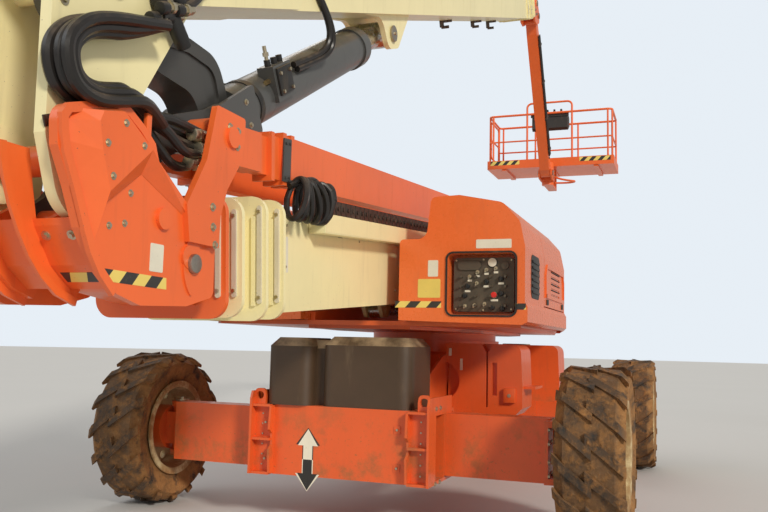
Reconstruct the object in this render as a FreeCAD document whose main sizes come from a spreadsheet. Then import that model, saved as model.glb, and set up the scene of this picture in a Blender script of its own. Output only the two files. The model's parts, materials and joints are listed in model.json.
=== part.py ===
"""Articulating boom lift on four steered wheels with extending axles, in millimetres.

Origin on the ground under the swing axis. +X runs along the chassis the way the main boom
points, +Y to the left of it, +Z up. The machine stands as it does in the photograph: axles
extended, tower down, main boom raised, jib hanging from its tip.
"""
import FreeCAD, Part
import math
import os

V = FreeCAD.Vector
DOC = FreeCAD.newDocument("BoomLift")
NODES = []

# name, size in mm or degrees, what it measures
SIZES = (
    ("wheelbase", 3810, "axle to axle"),
    ("track", 3365, "wheel centre to wheel centre, axles extended"),
    ("tyre_od", 1155, "tyre over its lugs"),
    ("tyre_w", 445, "tyre over its shoulders"),
    ("lug_high", 30, "lug above the carcass"),
    ("lug_wide", 62, "lug along the tread"),
    ("lug_pairs", 16, "lugs on each side of a tyre"),
    ("lug_angle", 38, "lug against the wheel axis"),
    ("rim_od", 710, "rim over its lips"),
    ("hub_dia", 330, "wheel hub drum"),
    ("axle_out", 660, "travel of each axle beam"),
    ("beam_high", 420, "axle beam, up"),
    ("beam_deep", 185, "axle beam, fore and aft"),
    ("beam_wall", 16, "axle beam plate"),
    ("beam_gap", 8, "running gap round an axle beam"),
    ("box_web", 14, "web between the two beams of an axle"),
    ("box_wall", 22, "axle box top, floor and back"),
    ("box_face", 92, "depth of the closed front of an axle box"),
    ("rib", 16, "rib and gusset plate"),
    ("rib_out", 68, "ribs forward of the axle box face"),
    ("frame_half", 430, "half the chassis frame's width"),
    ("frame_low", 480, "underside of the chassis frame"),
    ("frame_top", 1000, "top of the chassis frame"),
    ("frame_wall", 25, "chassis frame plate"),
    ("ring_r", 600, "slewing ring radius"),
    ("ring_z", 1300, "split of the slewing ring"),
    ("tank_out", 1050, "outer side of a side tank"),
    ("tank_half", 1145, "end of a side tank, from the middle"),
    ("tank_inner", 750, "inner end of a side tank, from the middle"),
    ("tank_low", 730, "underside of a side tank"),
    ("tank_top", 1275, "top of a side tank"),
    ("cover_top", 1300, "top of the moulded axle cover"),
    ("eye_r", 28, "tie-down eye, hole radius"),
    ("eye_thick", 26, "tie-down eye, plate"),
    ("deck_low", 1362, "underside of the turntable"),
    ("deck_top", 1420, "top of the turntable deck"),
    ("deck_half", 1180, "half the deck's width"),
    ("deck_front", -1950, "front edge of the deck"),
    ("deck_back", 1460, "back edge of the deck"),
    ("cheek_in", 335, "inner face of the boom supports"),
    ("cheek", 35, "boom support plate"),
    ("hood_in", 372, "inner side of the hoods"),
    ("hood_out", 1245, "outer side of the hoods"),
    ("hood_front", -2100, "front face of the hoods"),
    ("hood_low", 1400, "lower edge of the hoods"),
    ("shoulder_y", 595, "step from the hood's shoulder to its top"),
    ("shoulder_z", 1980, "hood's shoulder"),
    ("hood_top", 2275, "hood's top"),
    ("hood_wall", 14, "moulded hood panel"),
    ("door_front", -1340, "front edge of a hood door"),
    ("door_back", -300, "back edge of a hood door"),
    ("tail_back", 1040, "back edge of the tail hood"),
    ("door_gap", 8, "gap round a hood door"),
    ("hinge_r", 9, "hood door hinge pin"),
    ("hinge_up", 22, "hood door hinge above the hood's top"),
    ("tail_drop", 190, "fall of the tail hood"),
    ("tail_tuck", 215, "tuck of the tail hood"),
    ("panel_y", 950, "middle of the control panel recess"),
    ("panel_z", 1670, "middle of the control panel recess"),
    ("panel_w", 460, "control panel recess, across"),
    ("panel_h", 410, "control panel recess, up"),
    ("panel_deep", 150, "control panel recess, deep"),
    ("tail_r", 1820, "tail swing radius"),
    ("weight_front", 1060, "front of the counterweight"),
    ("weight_top", 2130, "top of the counterweight"),
    ("weight_slot", 400, "half the slot in the counterweight"),
    ("weight_half", 900, "half the counterweight's width"),
    ("pivot_x", 1350, "tower pivot"),
    ("pivot_z", 2050, "tower pivot"),
    ("link_dx", 260, "upper link pivot behind the tower pivot"),
    ("link_dz", 560, "upper link pivot above the tower pivot"),
    ("tower_slope", 4.4, "tower below level, towards its nose"),
    ("tower_long", 5975, "tower pivot to nose pin"),
    ("tower_w", 500, "tower base section, across"),
    ("tower_h", 520, "tower base section, up"),
    ("boom_wall", 10, "plate of the boom sections"),
    ("nest", 14, "gap between nested sections"),
    ("mouth", 5355, "tower pivot to the mouth of the base section"),
    ("collar_y", 360, "half the collars' width"),
    ("collar_z", 300, "half the base section's collar height"),
    ("collar_up", 12, "rise of the collars above the section's middle"),
    ("slim_collar_z", 275, "half the mid and fly collars' height"),
    ("collar", 26, "collar plate"),
    ("collar_step", 180, "first to second collar of the base section"),
    ("mid_collar", 5570, "tower pivot to the mid section's collar"),
    ("fly_collar", 5700, "tower pivot to the fly section's collar"),
    ("pin_r", 48, "main pins"),
    ("fit", 0.06, "running clearance of a pin"),
    ("nose_r", 124, "boss at the tower's nose"),
    ("nose_half", 194, "half the tower nose's width"),
    ("link_in", 168, "inner face of the upper links"),
    ("link_w", 112, "upper link section, across"),
    ("link_h", 250, "upper link section, up"),
    ("link_mouth", 5340, "upper link pivot to the mouth of its base section"),
    ("yoke_in", 300, "inner face of the yoke plates"),
    ("yoke_plate", 36, "yoke side plate"),
    ("yoke_rim", 14, "pressed rim of the yoke plates"),
    ("main_x", -5100, "main boom pivot"),
    ("main_z", 1900, "main boom pivot"),
    ("main_angle", 21, "main boom above level"),
    ("main_low", 540, "main boom's underside above its pivot"),
    ("main_w", 400, "main boom base section, across"),
    ("main_h", 530, "main boom base section, up"),
    ("main_start", 850, "pivot to the start of the base section"),
    ("main_mouth", 9750, "pivot to the mouth of the base section"),
    ("main_mid_end", 9990, "pivot to the end of the mid section"),
    ("main_fly_end", 10340, "pivot to the end of the fly section"),
    ("tip_u", 10900, "main boom pivot to the tip pin, along"),
    ("tip_v", 780, "main boom pivot to the tip pin, up"),
    ("cheek_main", 205, "inner face of the main boom's foot plates"),
    ("foot_plate", 48, "main boom's foot plate"),
    ("lug_u", 3750, "main boom pivot to the lift lug, along"),
    ("lug_v", 400, "main boom pivot to the lift lug, up"),
    ("link_pin_x", -4950, "lower lift link's pin on the yoke"),
    ("link_pin_z", 1700, "lower lift link's pin on the yoke"),
    ("joint_x", -4050, "foot pin of the main lift cylinder"),
    ("joint_z", 2300, "foot pin of the main lift cylinder"),
    ("goose_x", -5042, "gooseneck pin on the main boom"),
    ("goose_z", 2586, "gooseneck pin on the main boom"),
    ("goose_half", 84, "half the gooseneck's width"),
    ("lower_in", 95, "inner face of the lower lift link"),
    ("lower_plate", 30, "lower lift link plate"),
    ("clevis_in", 132, "inner face of the cylinder's foot plates"),
    ("clevis_plate", 25, "cylinder's foot plate"),
    ("barrel_r", 135, "main lift cylinder barrel"),
    ("rod_r", 82, "main lift cylinder rod"),
    ("lift_foot_x", 1000, "tower lift cylinder's foot pin"),
    ("lift_foot_z", 1650, "tower lift cylinder's foot pin"),
    ("lift_eye_x", -1550, "tower lift cylinder's rod pin"),
    ("lift_eye_z", 1503, "tower lift cylinder's rod pin"),
    ("lift_barrel_r", 66, "tower lift cylinder barrel"),
    ("lift_rod_r", 40, "tower lift cylinder rod"),
    ("jib_dx", 160, "jib pin beyond the tip pin"),
    ("jib_dz", -140, "jib pin above the tip pin"),
    ("jib_angle", -57, "jib above level"),
    ("jib_long", 2620, "jib pin to pin"),
    ("jib_w", 160, "jib section, across"),
    ("jib_h", 200, "jib section, up"),
    ("knuckle_in", 88, "inner face of the knuckle plates"),
    ("knuckle_plate", 26, "knuckle plate"),
    ("rotator_dx", 235, "platform rotator beyond the jib's lower pin"),
    ("rotator_r", 100, "platform rotator"),
    ("floor_gap", 130, "rotator axis to the platform's near side"),
    ("floor_w", 2190, "platform, across"),
    ("floor_d", 900, "platform, fore and aft"),
    ("floor_dz", 190, "platform floor above the jib's lower pin"),
    ("floor_t", 45, "platform floor"),
    ("toe_h", 150, "toe board"),
    ("rail_h", 940, "top rail above the floor"),
    ("rail_r", 19, "rail tube"),
    ("arch_half", 390, "half the width of the arch over the console"),
    ("arch_up", 190, "arch above the top rail"),
    ("gate_w", 640, "platform gate"),
)


class Size(float):
    """A number that remembers the cells it was worked out from."""

    def __new__(cls, value, formula):
        number = float.__new__(cls, value)
        number.formula = formula
        return number

    def __add__(self, other):
        return Size(float(self) + float(other), "(%s + %s)" % (self.formula, words(other)))

    def __radd__(self, other):
        return Size(float(other) + float(self), "(%s + %s)" % (words(other), self.formula))

    def __sub__(self, other):
        return Size(float(self) - float(other), "(%s - %s)" % (self.formula, words(other)))

    def __rsub__(self, other):
        return Size(float(other) - float(self), "(%s - %s)" % (words(other), self.formula))

    def __mul__(self, other):
        return Size(float(self) * float(other), "(%s * %s)" % (self.formula, words(other)))

    def __rmul__(self, other):
        return Size(float(other) * float(self), "(%s * %s)" % (words(other), self.formula))

    def __truediv__(self, other):
        return Size(float(self) / float(other), "(%s / %s)" % (self.formula, words(other)))

    def __neg__(self):
        return Size(-float(self), "(0 - %s)" % self.formula)


def words(value):
    return value.formula if isinstance(value, Size) else repr(float(value))


class Sheet:
    """The driving dimensions, one row each: name, value, what it measures."""

    def __init__(self, rows):
        self.sheet = DOC.addObject("Spreadsheet::Sheet", "Sizes")
        for row, (name, value, meaning) in enumerate(rows, 1):
            self.sheet.set("A%d" % row, name)
            self.sheet.set("B%d" % row, str(value))
            self.sheet.set("C%d" % row, meaning)
            self.sheet.setAlias("B%d" % row, name)
            setattr(self, name, Size(value, "Sizes." + name))


S = Sheet(SIZES)
DOC.recompute()


def bind(thing, prop, value):
    thing.setExpression(prop, words(value))


def put(thing, x=0.0, y=0.0, z=0.0):
    for axis, value in zip("xyz", (x, y, z)):
        bind(thing, "Placement.Base." + axis, value)


def box(x, y, z):
    """A block between two corners, each axis given as (low, high)."""
    piece = DOC.addObject("Part::Box", "Block")
    for prop, (low, high) in zip(("Length", "Width", "Height"), (x, y, z)):
        bind(piece, prop, high - low)
    put(piece, x[0], y[0], z[0])
    return piece


TURNS = {
    "x": FreeCAD.Rotation(V(0, 1, 0), 90),
    "y": FreeCAD.Rotation(V(1, 0, 0), -90),
    "z": FreeCAD.Rotation(),
}


def rod(axis, middle, radius, span, end_radius=None):
    """A cylinder, or a cone, along x, y or z; middle is its place across that axis."""
    kind = "Part::Cylinder" if end_radius is None else "Part::Cone"
    piece = DOC.addObject(kind, "Round")
    if end_radius is None:
        bind(piece, "Radius", radius)
    else:
        bind(piece, "Radius1", radius)
        bind(piece, "Radius2", end_radius)
    bind(piece, "Height", span[1] - span[0])
    piece.Placement = FreeCAD.Placement(V(), TURNS[axis])
    across = [name for name in "xyz" if name != axis]
    bind(piece, "Placement.Base." + axis, span[0])
    for name, value in zip(across, middle):
        bind(piece, "Placement.Base." + name, value)
    return piece


def fuse(pieces, refine=True):
    if len(pieces) == 1:
        return pieces[0]
    joined = DOC.addObject("Part::MultiFuse", "Joined")
    joined.Shapes = pieces
    joined.Refine = refine
    return joined


def chain(pieces):
    """Pieces joined one after the other, for round tubes that cross."""
    joined = pieces[0]
    for piece in pieces[1:]:
        pair = DOC.addObject("Part::Fuse", "Chain")
        pair.Base = joined
        pair.Tool = piece
        joined = pair
    return joined


def cut(base, tools):
    piece = DOC.addObject("Part::Cut", "Trimmed")
    piece.Base = base
    piece.Tool = fuse(tools)
    piece.Refine = True
    return piece


def outline(points):
    """Lines and corner arcs through (a, b) or (a, b, corner radius) points, closed."""
    corners = []
    count = len(points)
    for index, point in enumerate(points):
        here = V(float(point[0]), float(point[1]), 0)
        radius = float(point[2]) if len(point) > 2 else 0.0
        if radius <= 0:
            corners.append((here, None, here))
            continue
        before = points[index - 1]
        after = points[(index + 1) % count]
        back = (V(float(before[0]), float(before[1]), 0) - here).normalize()
        ahead = (V(float(after[0]), float(after[1]), 0) - here).normalize()
        half = back.getAngle(ahead) / 2
        room = 0.49 * min(math.dist(before[:2], point[:2]), math.dist(after[:2], point[:2]))
        reach = min(radius / math.tan(half), room)
        radius = reach * math.tan(half)
        centre = here + (back + ahead).normalize() * (radius / math.sin(half))
        middle = centre + (here - centre).normalize() * radius
        corners.append((here + back * reach, middle, here + ahead * reach))
    edges = []
    for index, (start, middle, end) in enumerate(corners):
        if middle is not None:
            edges.append(Part.Arc(start, middle, end))
        following = corners[(index + 1) % count][0]
        if (following - end).Length > 1e-6:
            edges.append(Part.LineSegment(end, following))
    return edges


# plane of a profile: origin plane, the way its pad grows
PLANES = {"x": ("YZ_Plane", 1), "y": ("XZ_Plane", -1), "z": ("XY_Plane", 1)}


def plate(axis, points, span):
    """A profile extruded along an axis: x takes (y, z) points, y takes (x, z), z takes (x, y)."""
    body = DOC.addObject("PartDesign::Body", "Profile")
    role, way = PLANES[axis]
    plane = next(item for item in body.Origin.OriginFeatures if item.Role == role)
    sketch = body.newObject("Sketcher::SketchObject", "Outline")
    sketch.AttachmentSupport = (plane, [""])
    sketch.MapMode = "FlatFace"
    for edge in outline(points):
        sketch.addGeometry(edge, False)
    pad = body.newObject("PartDesign::Pad", "Pad")
    pad.Profile = sketch
    bind(pad, "Length", span[1] - span[0])
    sketch.Visibility = False
    bind(body, "Placement.Base." + axis, span[0] if way > 0 else span[1])
    return body


def lofted(sections):
    """A ruled solid through like outlines, each (place along x, (y, z) points)."""
    wires = []
    for place, points in sections:
        edges = [edge.toShape() for edge in outline(points)]
        wire = Part.Wire(edges)
        wire.Placement = FreeCAD.Placement(V(float(place), 0, 0), FreeCAD.Rotation(V(1, 1, 1), 120))
        wires.append(wire)
    piece = DOC.addObject("Part::Feature", "Lofted")
    piece.Shape = Part.makeLoft(wires, True, True)
    return piece


def tube(points, radius, corner, closed=False):
    """A round tube along straight runs with rounded corners."""
    places = [V(*[float(value) for value in point]) for point in points]
    runs = []
    last = None
    count = len(places)
    inner = range(count) if closed else range(1, count - 1)
    bends = {}
    for index in inner:
        here = places[index]
        back = (places[index - 1] - here).normalize()
        ahead = (places[(index + 1) % count] - here).normalize()
        half = back.getAngle(ahead) / 2
        reach = float(corner) / math.tan(half)
        centre = here + (back + ahead).normalize() * (float(corner) / math.sin(half))
        middle = centre + (here - centre).normalize() * float(corner)
        bends[index] = (here + back * reach, middle, here + ahead * reach)
    for index in range(count):
        start, middle, end = bends.get(index, (places[index], None, places[index]))
        if last is not None:
            runs.append(Part.LineSegment(last, start).toShape())
        if middle is not None:
            runs.append(Part.Arc(start, middle, end).toShape())
        last = end
    if closed:
        runs.append(Part.LineSegment(last, bends[0][0]).toShape())
    wire = Part.Wire(runs)
    first = wire.OrderedEdges[0]
    begin = first.valueAt(first.FirstParameter)
    way = first.tangentAt(first.FirstParameter)
    ring = Part.Wire([Part.makeCircle(float(radius), begin, way)])
    piece = DOC.addObject("Part::Feature", "Tube")
    piece.Shape = wire.makePipeShell([ring], True, True)
    return piece


def turned(points, middle):
    """A profile of (radius, y) points turned about the wheel axis at (x, z)."""
    body = DOC.addObject("PartDesign::Body", "Turned")
    plane = next(item for item in body.Origin.OriginFeatures if item.Role == "XY_Plane")
    sketch = body.newObject("Sketcher::SketchObject", "Section")
    sketch.AttachmentSupport = (plane, [""])
    sketch.MapMode = "FlatFace"
    for edge in outline(points):
        sketch.addGeometry(edge, False)
    revolve = body.newObject("PartDesign::Revolution", "Revolve")
    revolve.Profile = sketch
    revolve.ReferenceAxis = (sketch, ["V_Axis"])
    revolve.Angle = 360
    sketch.Visibility = False
    bind(body, "Placement.Base.x", middle[0])
    bind(body, "Placement.Base.z", middle[1])
    return body


def node(name, piece, place=None):
    """Names a finished piece; place turns and carries a piece drawn in a boom's own frame."""
    piece.Label = name
    if place is not None:
        piece.Placement = place
    NODES.append(piece)
    return piece


def group(name, pieces, place=None):
    """Like pieces of one body under one name, as solids that don't touch."""
    together = DOC.addObject("Part::Compound", "Group")
    together.Links = pieces
    return node(name, together, place)


def pitched(x, z, angle):
    """The frame of a boom: its own X runs along it, at an angle above level."""
    return FreeCAD.Placement(V(float(x), 0, float(z)), FreeCAD.Rotation(V(0, 1, 0), -float(angle)))


def both(low, high):
    """The same span on the right and on the left of the middle plane."""
    return ((-high, -low), (low, high))


SIDES = ((-1, "right"), (1, "left"))
ENDS = ((-1, "front"), (1, "rear"))


def span_y(side, low, high):
    return (low, high) if side > 0 else (-high, -low)


def span_x(end, low, high):
    return (low, high) if end > 0 else (-high, -low)


SEAT = 0.3
AXLE_X = S.wheelbase / 2
WHEEL_Z = S.tyre_od / 2
KINGPIN_Y = S.track / 2 - S.tyre_w / 2
DOOR_IN = S.shoulder_y + 34
DOOR_LOW = S.hood_low + 160
HINGE_X = (S.door_front + 140, S.door_back - 220)
HINGE_Y = DOOR_IN - S.door_gap / 2
HINGE_Z = S.hood_top + S.hinge_up
BOX_HALF = S.axle_out
TANK_IN = S.frame_half + S.rib
DECK_TUCK = 280
BEAM_TOP = WHEEL_Z + S.beam_high / 2
BEAM_LOW = WHEEL_Z - S.beam_high / 2
BOX_TOP = BEAM_TOP + S.beam_gap + S.box_wall
BOX_LOW = BEAM_LOW - S.beam_gap - S.box_wall
BEAM_OFF = S.beam_deep / 2 + S.beam_gap + S.box_web / 2
BOX_INNER = S.wheelbase / 2 - 2 * (S.beam_deep + 2 * S.beam_gap) / 2 - S.box_web / 2 - S.box_wall
BOX_OUTER = S.wheelbase / 2 + S.beam_deep + 2 * S.beam_gap + S.box_web / 2 + S.box_face


def beam_x(end, side):
    """Fore and aft span of an axle beam: the left beams lie outboard of the axle line."""
    middle = AXLE_X + side * BEAM_OFF
    return span_x(end, middle - S.beam_deep / 2, middle + S.beam_deep / 2)


def make_chassis():
    """Closed frame between the axle boxes, the pedestal and the lower half of the slewing ring."""
    frame_x = BOX_INNER
    shell = box((-frame_x, frame_x), (-S.frame_half, S.frame_half), (S.frame_low, S.frame_top))
    hollow = box((-frame_x + S.frame_wall, frame_x - S.frame_wall),
                 (-S.frame_half + S.frame_wall, S.frame_half - S.frame_wall),
                 (S.frame_low + S.frame_wall, S.frame_top - S.frame_wall))
    arches = []
    for end, _ in ENDS:
        for side, _ in SIDES:
            points = [(end * frame_x, S.frame_top), (end * frame_x, BOX_TOP), (end * (S.tank_half + 60), BOX_TOP),
                      (end * (S.tank_half - 60), S.frame_top), (end * (S.tank_half - 60), S.ring_z - 110),
                      (end * (S.tank_half + 90), S.ring_z - 130, 120)]
            arches.append(plate("y", points, span_y(side, S.frame_half - 6, S.frame_half + S.rib)))
    pedestal = rod("z", (0, 0), S.ring_r + 60, (S.frame_top - 1, S.ring_z - 100), S.ring_r - 30)
    lower_ring = rod("z", (0, 0), S.ring_r, (S.ring_z - 101, S.ring_z - SEAT / 2))
    solid = cut(shell, [hollow])
    node("chassis_frame", fuse([solid, pedestal, lower_ring] + arches))


def make_axle_box(end):
    """Welded box that the two axle beams slide in side by side, with ribs and gussets in front."""
    body = box(span_x(end, BOX_INNER, BOX_OUTER), (-BOX_HALF, BOX_HALF), (BOX_LOW, BOX_TOP))
    slots = []
    for side, _ in SIDES:
        low, high = beam_x(end, side)
        slots.append(box((low - S.beam_gap, high + S.beam_gap), (-BOX_HALF - 1, BOX_HALF + 1),
                         (BEAM_LOW - S.beam_gap, BEAM_TOP + S.beam_gap)))
    face = BOX_OUTER
    pocket = box(span_x(end, face - S.box_face + S.box_wall, face - S.box_wall),
                 (-BOX_HALF + 40, BOX_HALF - 40), (BOX_LOW + S.box_wall, BOX_TOP - S.box_wall))
    ribs = []
    out = face + S.rib_out
    for side, _ in SIDES:
        edge = BOX_HALF
        points = [(end * (face - 30), BOX_LOW), (end * out, BOX_LOW), (end * out, BOX_TOP + 40),
                  (end * (out - 20), BOX_TOP + 90), (end * (BOX_INNER + 60), BOX_TOP + 90),
                  (end * (BOX_INNER + 60), BOX_TOP - 30), (end * (face - 30), BOX_TOP - 30)]
        ribs.append(plate("y", points, span_y(side, edge - S.rib, edge)))
        inner = edge - 150
        notch = [(end * (face - 30), BOX_LOW), (end * (out - 12), BOX_LOW + 10), (end * (out + 4), WHEEL_Z - 70),
                 (end * (out - 36), WHEEL_Z - 40), (end * (out - 36), WHEEL_Z + 40), (end * (out + 4), WHEEL_Z + 70),
                 (end * (out - 12), BOX_TOP - 10), (end * (face - 30), BOX_TOP)]
        ribs.append(plate("y", notch, span_y(side, inner - S.rib, inner)))
        for height in (BOX_LOW, WHEEL_Z - S.rib / 2, BOX_TOP - S.rib):
            ribs.append(box(span_x(end, face - 10, out - 12), span_y(side, inner - 4, edge - 4),
                            (height, height + S.rib)))
    lugs = []
    for side, _ in SIDES:
        middle = side * (BOX_HALF - 52)
        wall = span_x(end, face - 10, face - 10 + S.eye_thick)
        points = [(middle - 44, BOX_TOP - 12), (middle - 44, BOX_TOP + 60), (middle - 36, BOX_TOP + 108, 36),
                  (middle + 36, BOX_TOP + 108, 36), (middle + 44, BOX_TOP + 60), (middle + 44, BOX_TOP - 12)]
        lugs.append(cut(plate("x", points, wall), [rod("x", (middle, BOX_TOP + 60), S.eye_r, wall)]))
    solid = cut(body, slots + [pocket])
    return fuse([solid] + ribs + lugs + make_pads(end))


def make_pads(end):
    """Wear pads in the mouths of an axle box that the beams slide on."""
    pads = []
    for side, _ in SIDES:
        low, high = beam_x(end, side)
        wall = span_y(side, BOX_HALF - 75, BOX_HALF - 15)
        middle = (low + high) / 2
        for bottom in (BEAM_LOW - S.beam_gap - 1, BEAM_TOP + SEAT):
            pads.append(box((middle - 60, middle + 60), wall, (bottom, bottom + S.beam_gap + 1 - SEAT)))
        for edge in (low - S.beam_gap - 1, high + SEAT):
            pads.append(box((edge, edge + S.beam_gap + 1 - SEAT), wall, (WHEEL_Z - 130, WHEEL_Z + 130)))
    return pads


def make_cover(end):
    """Moulded cover over the axle box: three rounded lobes under one low crown."""
    base_z = BOX_TOP
    pieces = []
    # middle across, half width, reach forward of the axle box face, corner radius, crown below the top
    lobes = ((-170, 330, -10, 90, 0), (395, 170, 25, 80, 12), (-10, 470, -90, 110, 26))
    for middle, half, reach, corner, drop in lobes:
        front = BOX_OUTER + reach
        back = BOX_INNER + 40
        points = [(end * back, -end * middle - half, 40), (end * back, -end * middle + half, 40),
                  (end * front, -end * middle + half, corner), (end * front, -end * middle - half, corner)]
        crown = [(end * (back + 30), -end * middle - half + 50, 40), (end * (back + 30), -end * middle + half - 50, 40),
                 (end * (front - 60), -end * middle + half - 50, corner - 20),
                 (end * (front - 60), -end * middle - half + 50, corner - 20)]
        wires = []
        for height, ring_points in ((base_z, points), (S.cover_top - 60 - drop, points), (S.cover_top - drop, crown)):
            wire = Part.Wire([edge.toShape() for edge in outline(ring_points)])
            wire.translate(V(0, 0, float(height)))
            wires.append(wire)
        lobe = DOC.addObject("Part::Feature", "Lobe")
        lobe.Shape = Part.makeLoft(wires, True, True)
        pieces.append(lobe)
    return fuse(pieces)


def make_tank(end, side):
    """Side tank behind a wheel, with a two-lobed face, a handle recess and slots."""
    points = [(TANK_IN, S.tank_low), (S.tank_out - 60, S.tank_low), (S.tank_out, S.tank_low + 60),
              (S.tank_out, S.tank_low + 240), (S.tank_out - 14, S.tank_top, 70), (TANK_IN, S.tank_top)]
    points = [(side * y, z) + tuple(rest) for y, z, *rest in points]
    body = plate("x", points, span_x(end, S.tank_inner, S.tank_half))
    step = box(span_x(end, S.tank_inner + 20, S.tank_half - 60), span_y(side, S.tank_out - 40, S.tank_out + 90),
               (S.tank_low + 205, S.tank_low + 225))
    middle = TANK_IN + 330
    valley = [(side * (middle - 46), S.tank_top + 1), (side * (middle + 46), S.tank_top + 1),
              (side * (middle + 12), S.tank_top - 62, 12), (side * (middle - 12), S.tank_top - 62, 12)]
    grooves = [plate("x", valley, span_x(end, S.tank_half - 90, S.tank_half + 1))]
    grooves.append(box(span_x(end, S.tank_half - 40, S.tank_half + 1), span_y(side, middle - 7, middle + 7),
                       (S.tank_low + 60, S.tank_top - 61)))
    grooves.append(box(span_x(end, S.tank_half - 34, S.tank_half + 1), span_y(side, middle + 40, middle + 78),
                       (S.tank_low + 150, S.tank_low + 400)))
    arch = rod("x", (side * (TANK_IN - 40), S.tank_low + 250), 150, span_x(end, S.tank_half - 70, S.tank_half + 1))
    return fuse([cut(body, grooves + [arch]), step])


def make_axle_beam(end, side, name):
    """Hollow sliding beam with a flange and two ears that hold the kingpin."""
    low, high = beam_x(end, side)
    inner, outer = S.box_web, KINGPIN_Y - 80
    beam = box((low, high), span_y(side, inner, outer), (BEAM_LOW, BEAM_TOP))
    hollow = box((low + S.beam_wall, high - S.beam_wall), span_y(side, inner - 1, outer - 24),
                 (BEAM_LOW + S.beam_wall, BEAM_TOP - S.beam_wall))
    axle = end * AXLE_X
    flange_low = min(low, axle - 92)
    flange_high = max(high, axle + 92)
    flange = box((flange_low, flange_high), span_y(side, outer - 26, outer), (BEAM_LOW + 8, BEAM_TOP - 8))
    ears = []
    for bottom in (BEAM_LOW + 8, BEAM_TOP - 48):
        points = [(axle - 92, side * (outer - 8)), (axle + 92, side * (outer - 8)),
                  (axle + 70, side * (KINGPIN_Y + 70), 60), (axle - 70, side * (KINGPIN_Y + 70), 60)]
        ears.append(plate("z", points, (bottom, bottom + 40)))
    pin = rod("z", (axle, side * KINGPIN_Y), 42, (BEAM_LOW + 20, BEAM_TOP - 20))
    node(name, fuse([cut(beam, [hollow]), flange, pin] + ears))


def make_knuckle(end, side, name):
    """Steering knuckle on the kingpin, with the drive hub drum that the wheel bolts to."""
    axle = end * AXLE_X
    low, high = BEAM_LOW + 48 + SEAT, BEAM_TOP - 48 - SEAT
    post = rod("z", (axle, side * KINGPIN_Y), 62, (low, high))
    neck = box((axle - 74, axle + 74), span_y(side, KINGPIN_Y, KINGPIN_Y + 92), (WHEEL_Z - 120, WHEEL_Z + 120))
    drum = rod("y", (axle, WHEEL_Z), S.hub_dia / 2, span_y(side, KINGPIN_Y + 84, S.track / 2 + 6 - SEAT))
    arm = box((axle - 40, axle + 120), span_y(side, KINGPIN_Y - 24, KINGPIN_Y + 24), (WHEEL_Z + 60, WHEEL_Z + 96))
    bore = rod("z", (axle, side * KINGPIN_Y), 42 + S.fit, (low, high))
    node(name, cut(fuse([post, neck, drum, arm]), [bore]))


def facet_ring(profile, sides, middle):
    """A ring with flat facets: (radius, y) corners of its section carried round the wheel axis."""
    hoops = []
    for radius, y in profile:
        hoop = []
        for index in range(sides):
            angle = 2 * math.pi * (index + 0.5) / sides
            hoop.append(V(float(middle[0]) + float(radius) * math.cos(angle), float(y),
                          float(middle[1]) + float(radius) * math.sin(angle)))
        hoops.append(hoop)
    faces = []
    for here, there in zip(hoops, hoops[1:] + hoops[:1]):
        for index in range(sides):
            after = (index + 1) % sides
            corners = [here[index], here[after], there[after], there[index]]
            faces.append(Part.Face(Part.makePolygon(corners + corners[:1])))
    shell = Part.Shell(faces)
    shell.sewShape()
    solid = Part.Solid(shell)
    if solid.Volume < 0:
        solid.reverse()
    piece = DOC.addObject("Part::Feature", "Carcass")
    piece.Shape = solid
    return piece


def make_tyre(end, side, name):
    """Faceted carcass with slanted bars that meet in a chevron."""
    middle_y = side * S.track / 2
    axle = end * AXLE_X
    inner = S.rim_od / 2 - 31
    outer = S.tyre_od / 2 - S.lug_high
    half = S.tyre_w / 2 - 14
    count = int(S.lug_pairs)
    spread = 1 / math.cos(math.pi / (2 * count))
    # radius and y of the section's corners, from the inner bead round to the outer one
    section = [(inner * spread, middle_y - half + 55), ((outer - 55) * spread, middle_y - half),
               (outer * spread, middle_y - half + 60), (outer * spread, middle_y + half - 60),
               ((outer - 55) * spread, middle_y + half), (inner * spread, middle_y + half - 55)]
    carcass = facet_ring(section, 2 * count, (axle, WHEEL_Z))
    width = float(S.tyre_w) / 2
    wide = float(S.lug_wide)
    slant = math.tan(math.radians(float(S.lug_angle)))
    top = math.sqrt(float(S.tyre_od) ** 2 / 4 - ((width / 2 + 18) * slant + wide / 2) ** 2)
    low = float(outer) - 40
    bars = []
    for index in range(2 * count):
        hand = 1 if index % 2 else -1
        # across the tread, along it and outwards; the shoulder end is bevelled
        lean = side * end * slant
        inside, outside, edge = -18.0, width - 8, width - 52
        outline = []
        for across, height in ((inside, low), (outside, low), (outside, low + 22), (edge, top), (inside, top)):
            outline.append(V((across - width / 2) * lean - wide / 2, across, height))
        bar = Part.Face(Part.makePolygon(outline + outline[:1])).extrude(V(wide, 0, 0))
        if hand < 0:
            bar.rotate(V(0, 0, 0), V(0, 0, 1), 180)
        # half a step round, so that the tyre stands on two lugs
        bar.rotate(V(0, 0, 0), V(0, 1, 0), (index + 0.5 * side * end) * 180.0 / count)
        bar.translate(V(float(axle), float(middle_y), float(WHEEL_Z)))
        bars.append(bar)
    lugs = DOC.addObject("Part::Feature", "Lugs")
    lugs.Shape = Part.makeCompound(bars)
    node(name, fuse([carcass, lugs], False))


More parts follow.
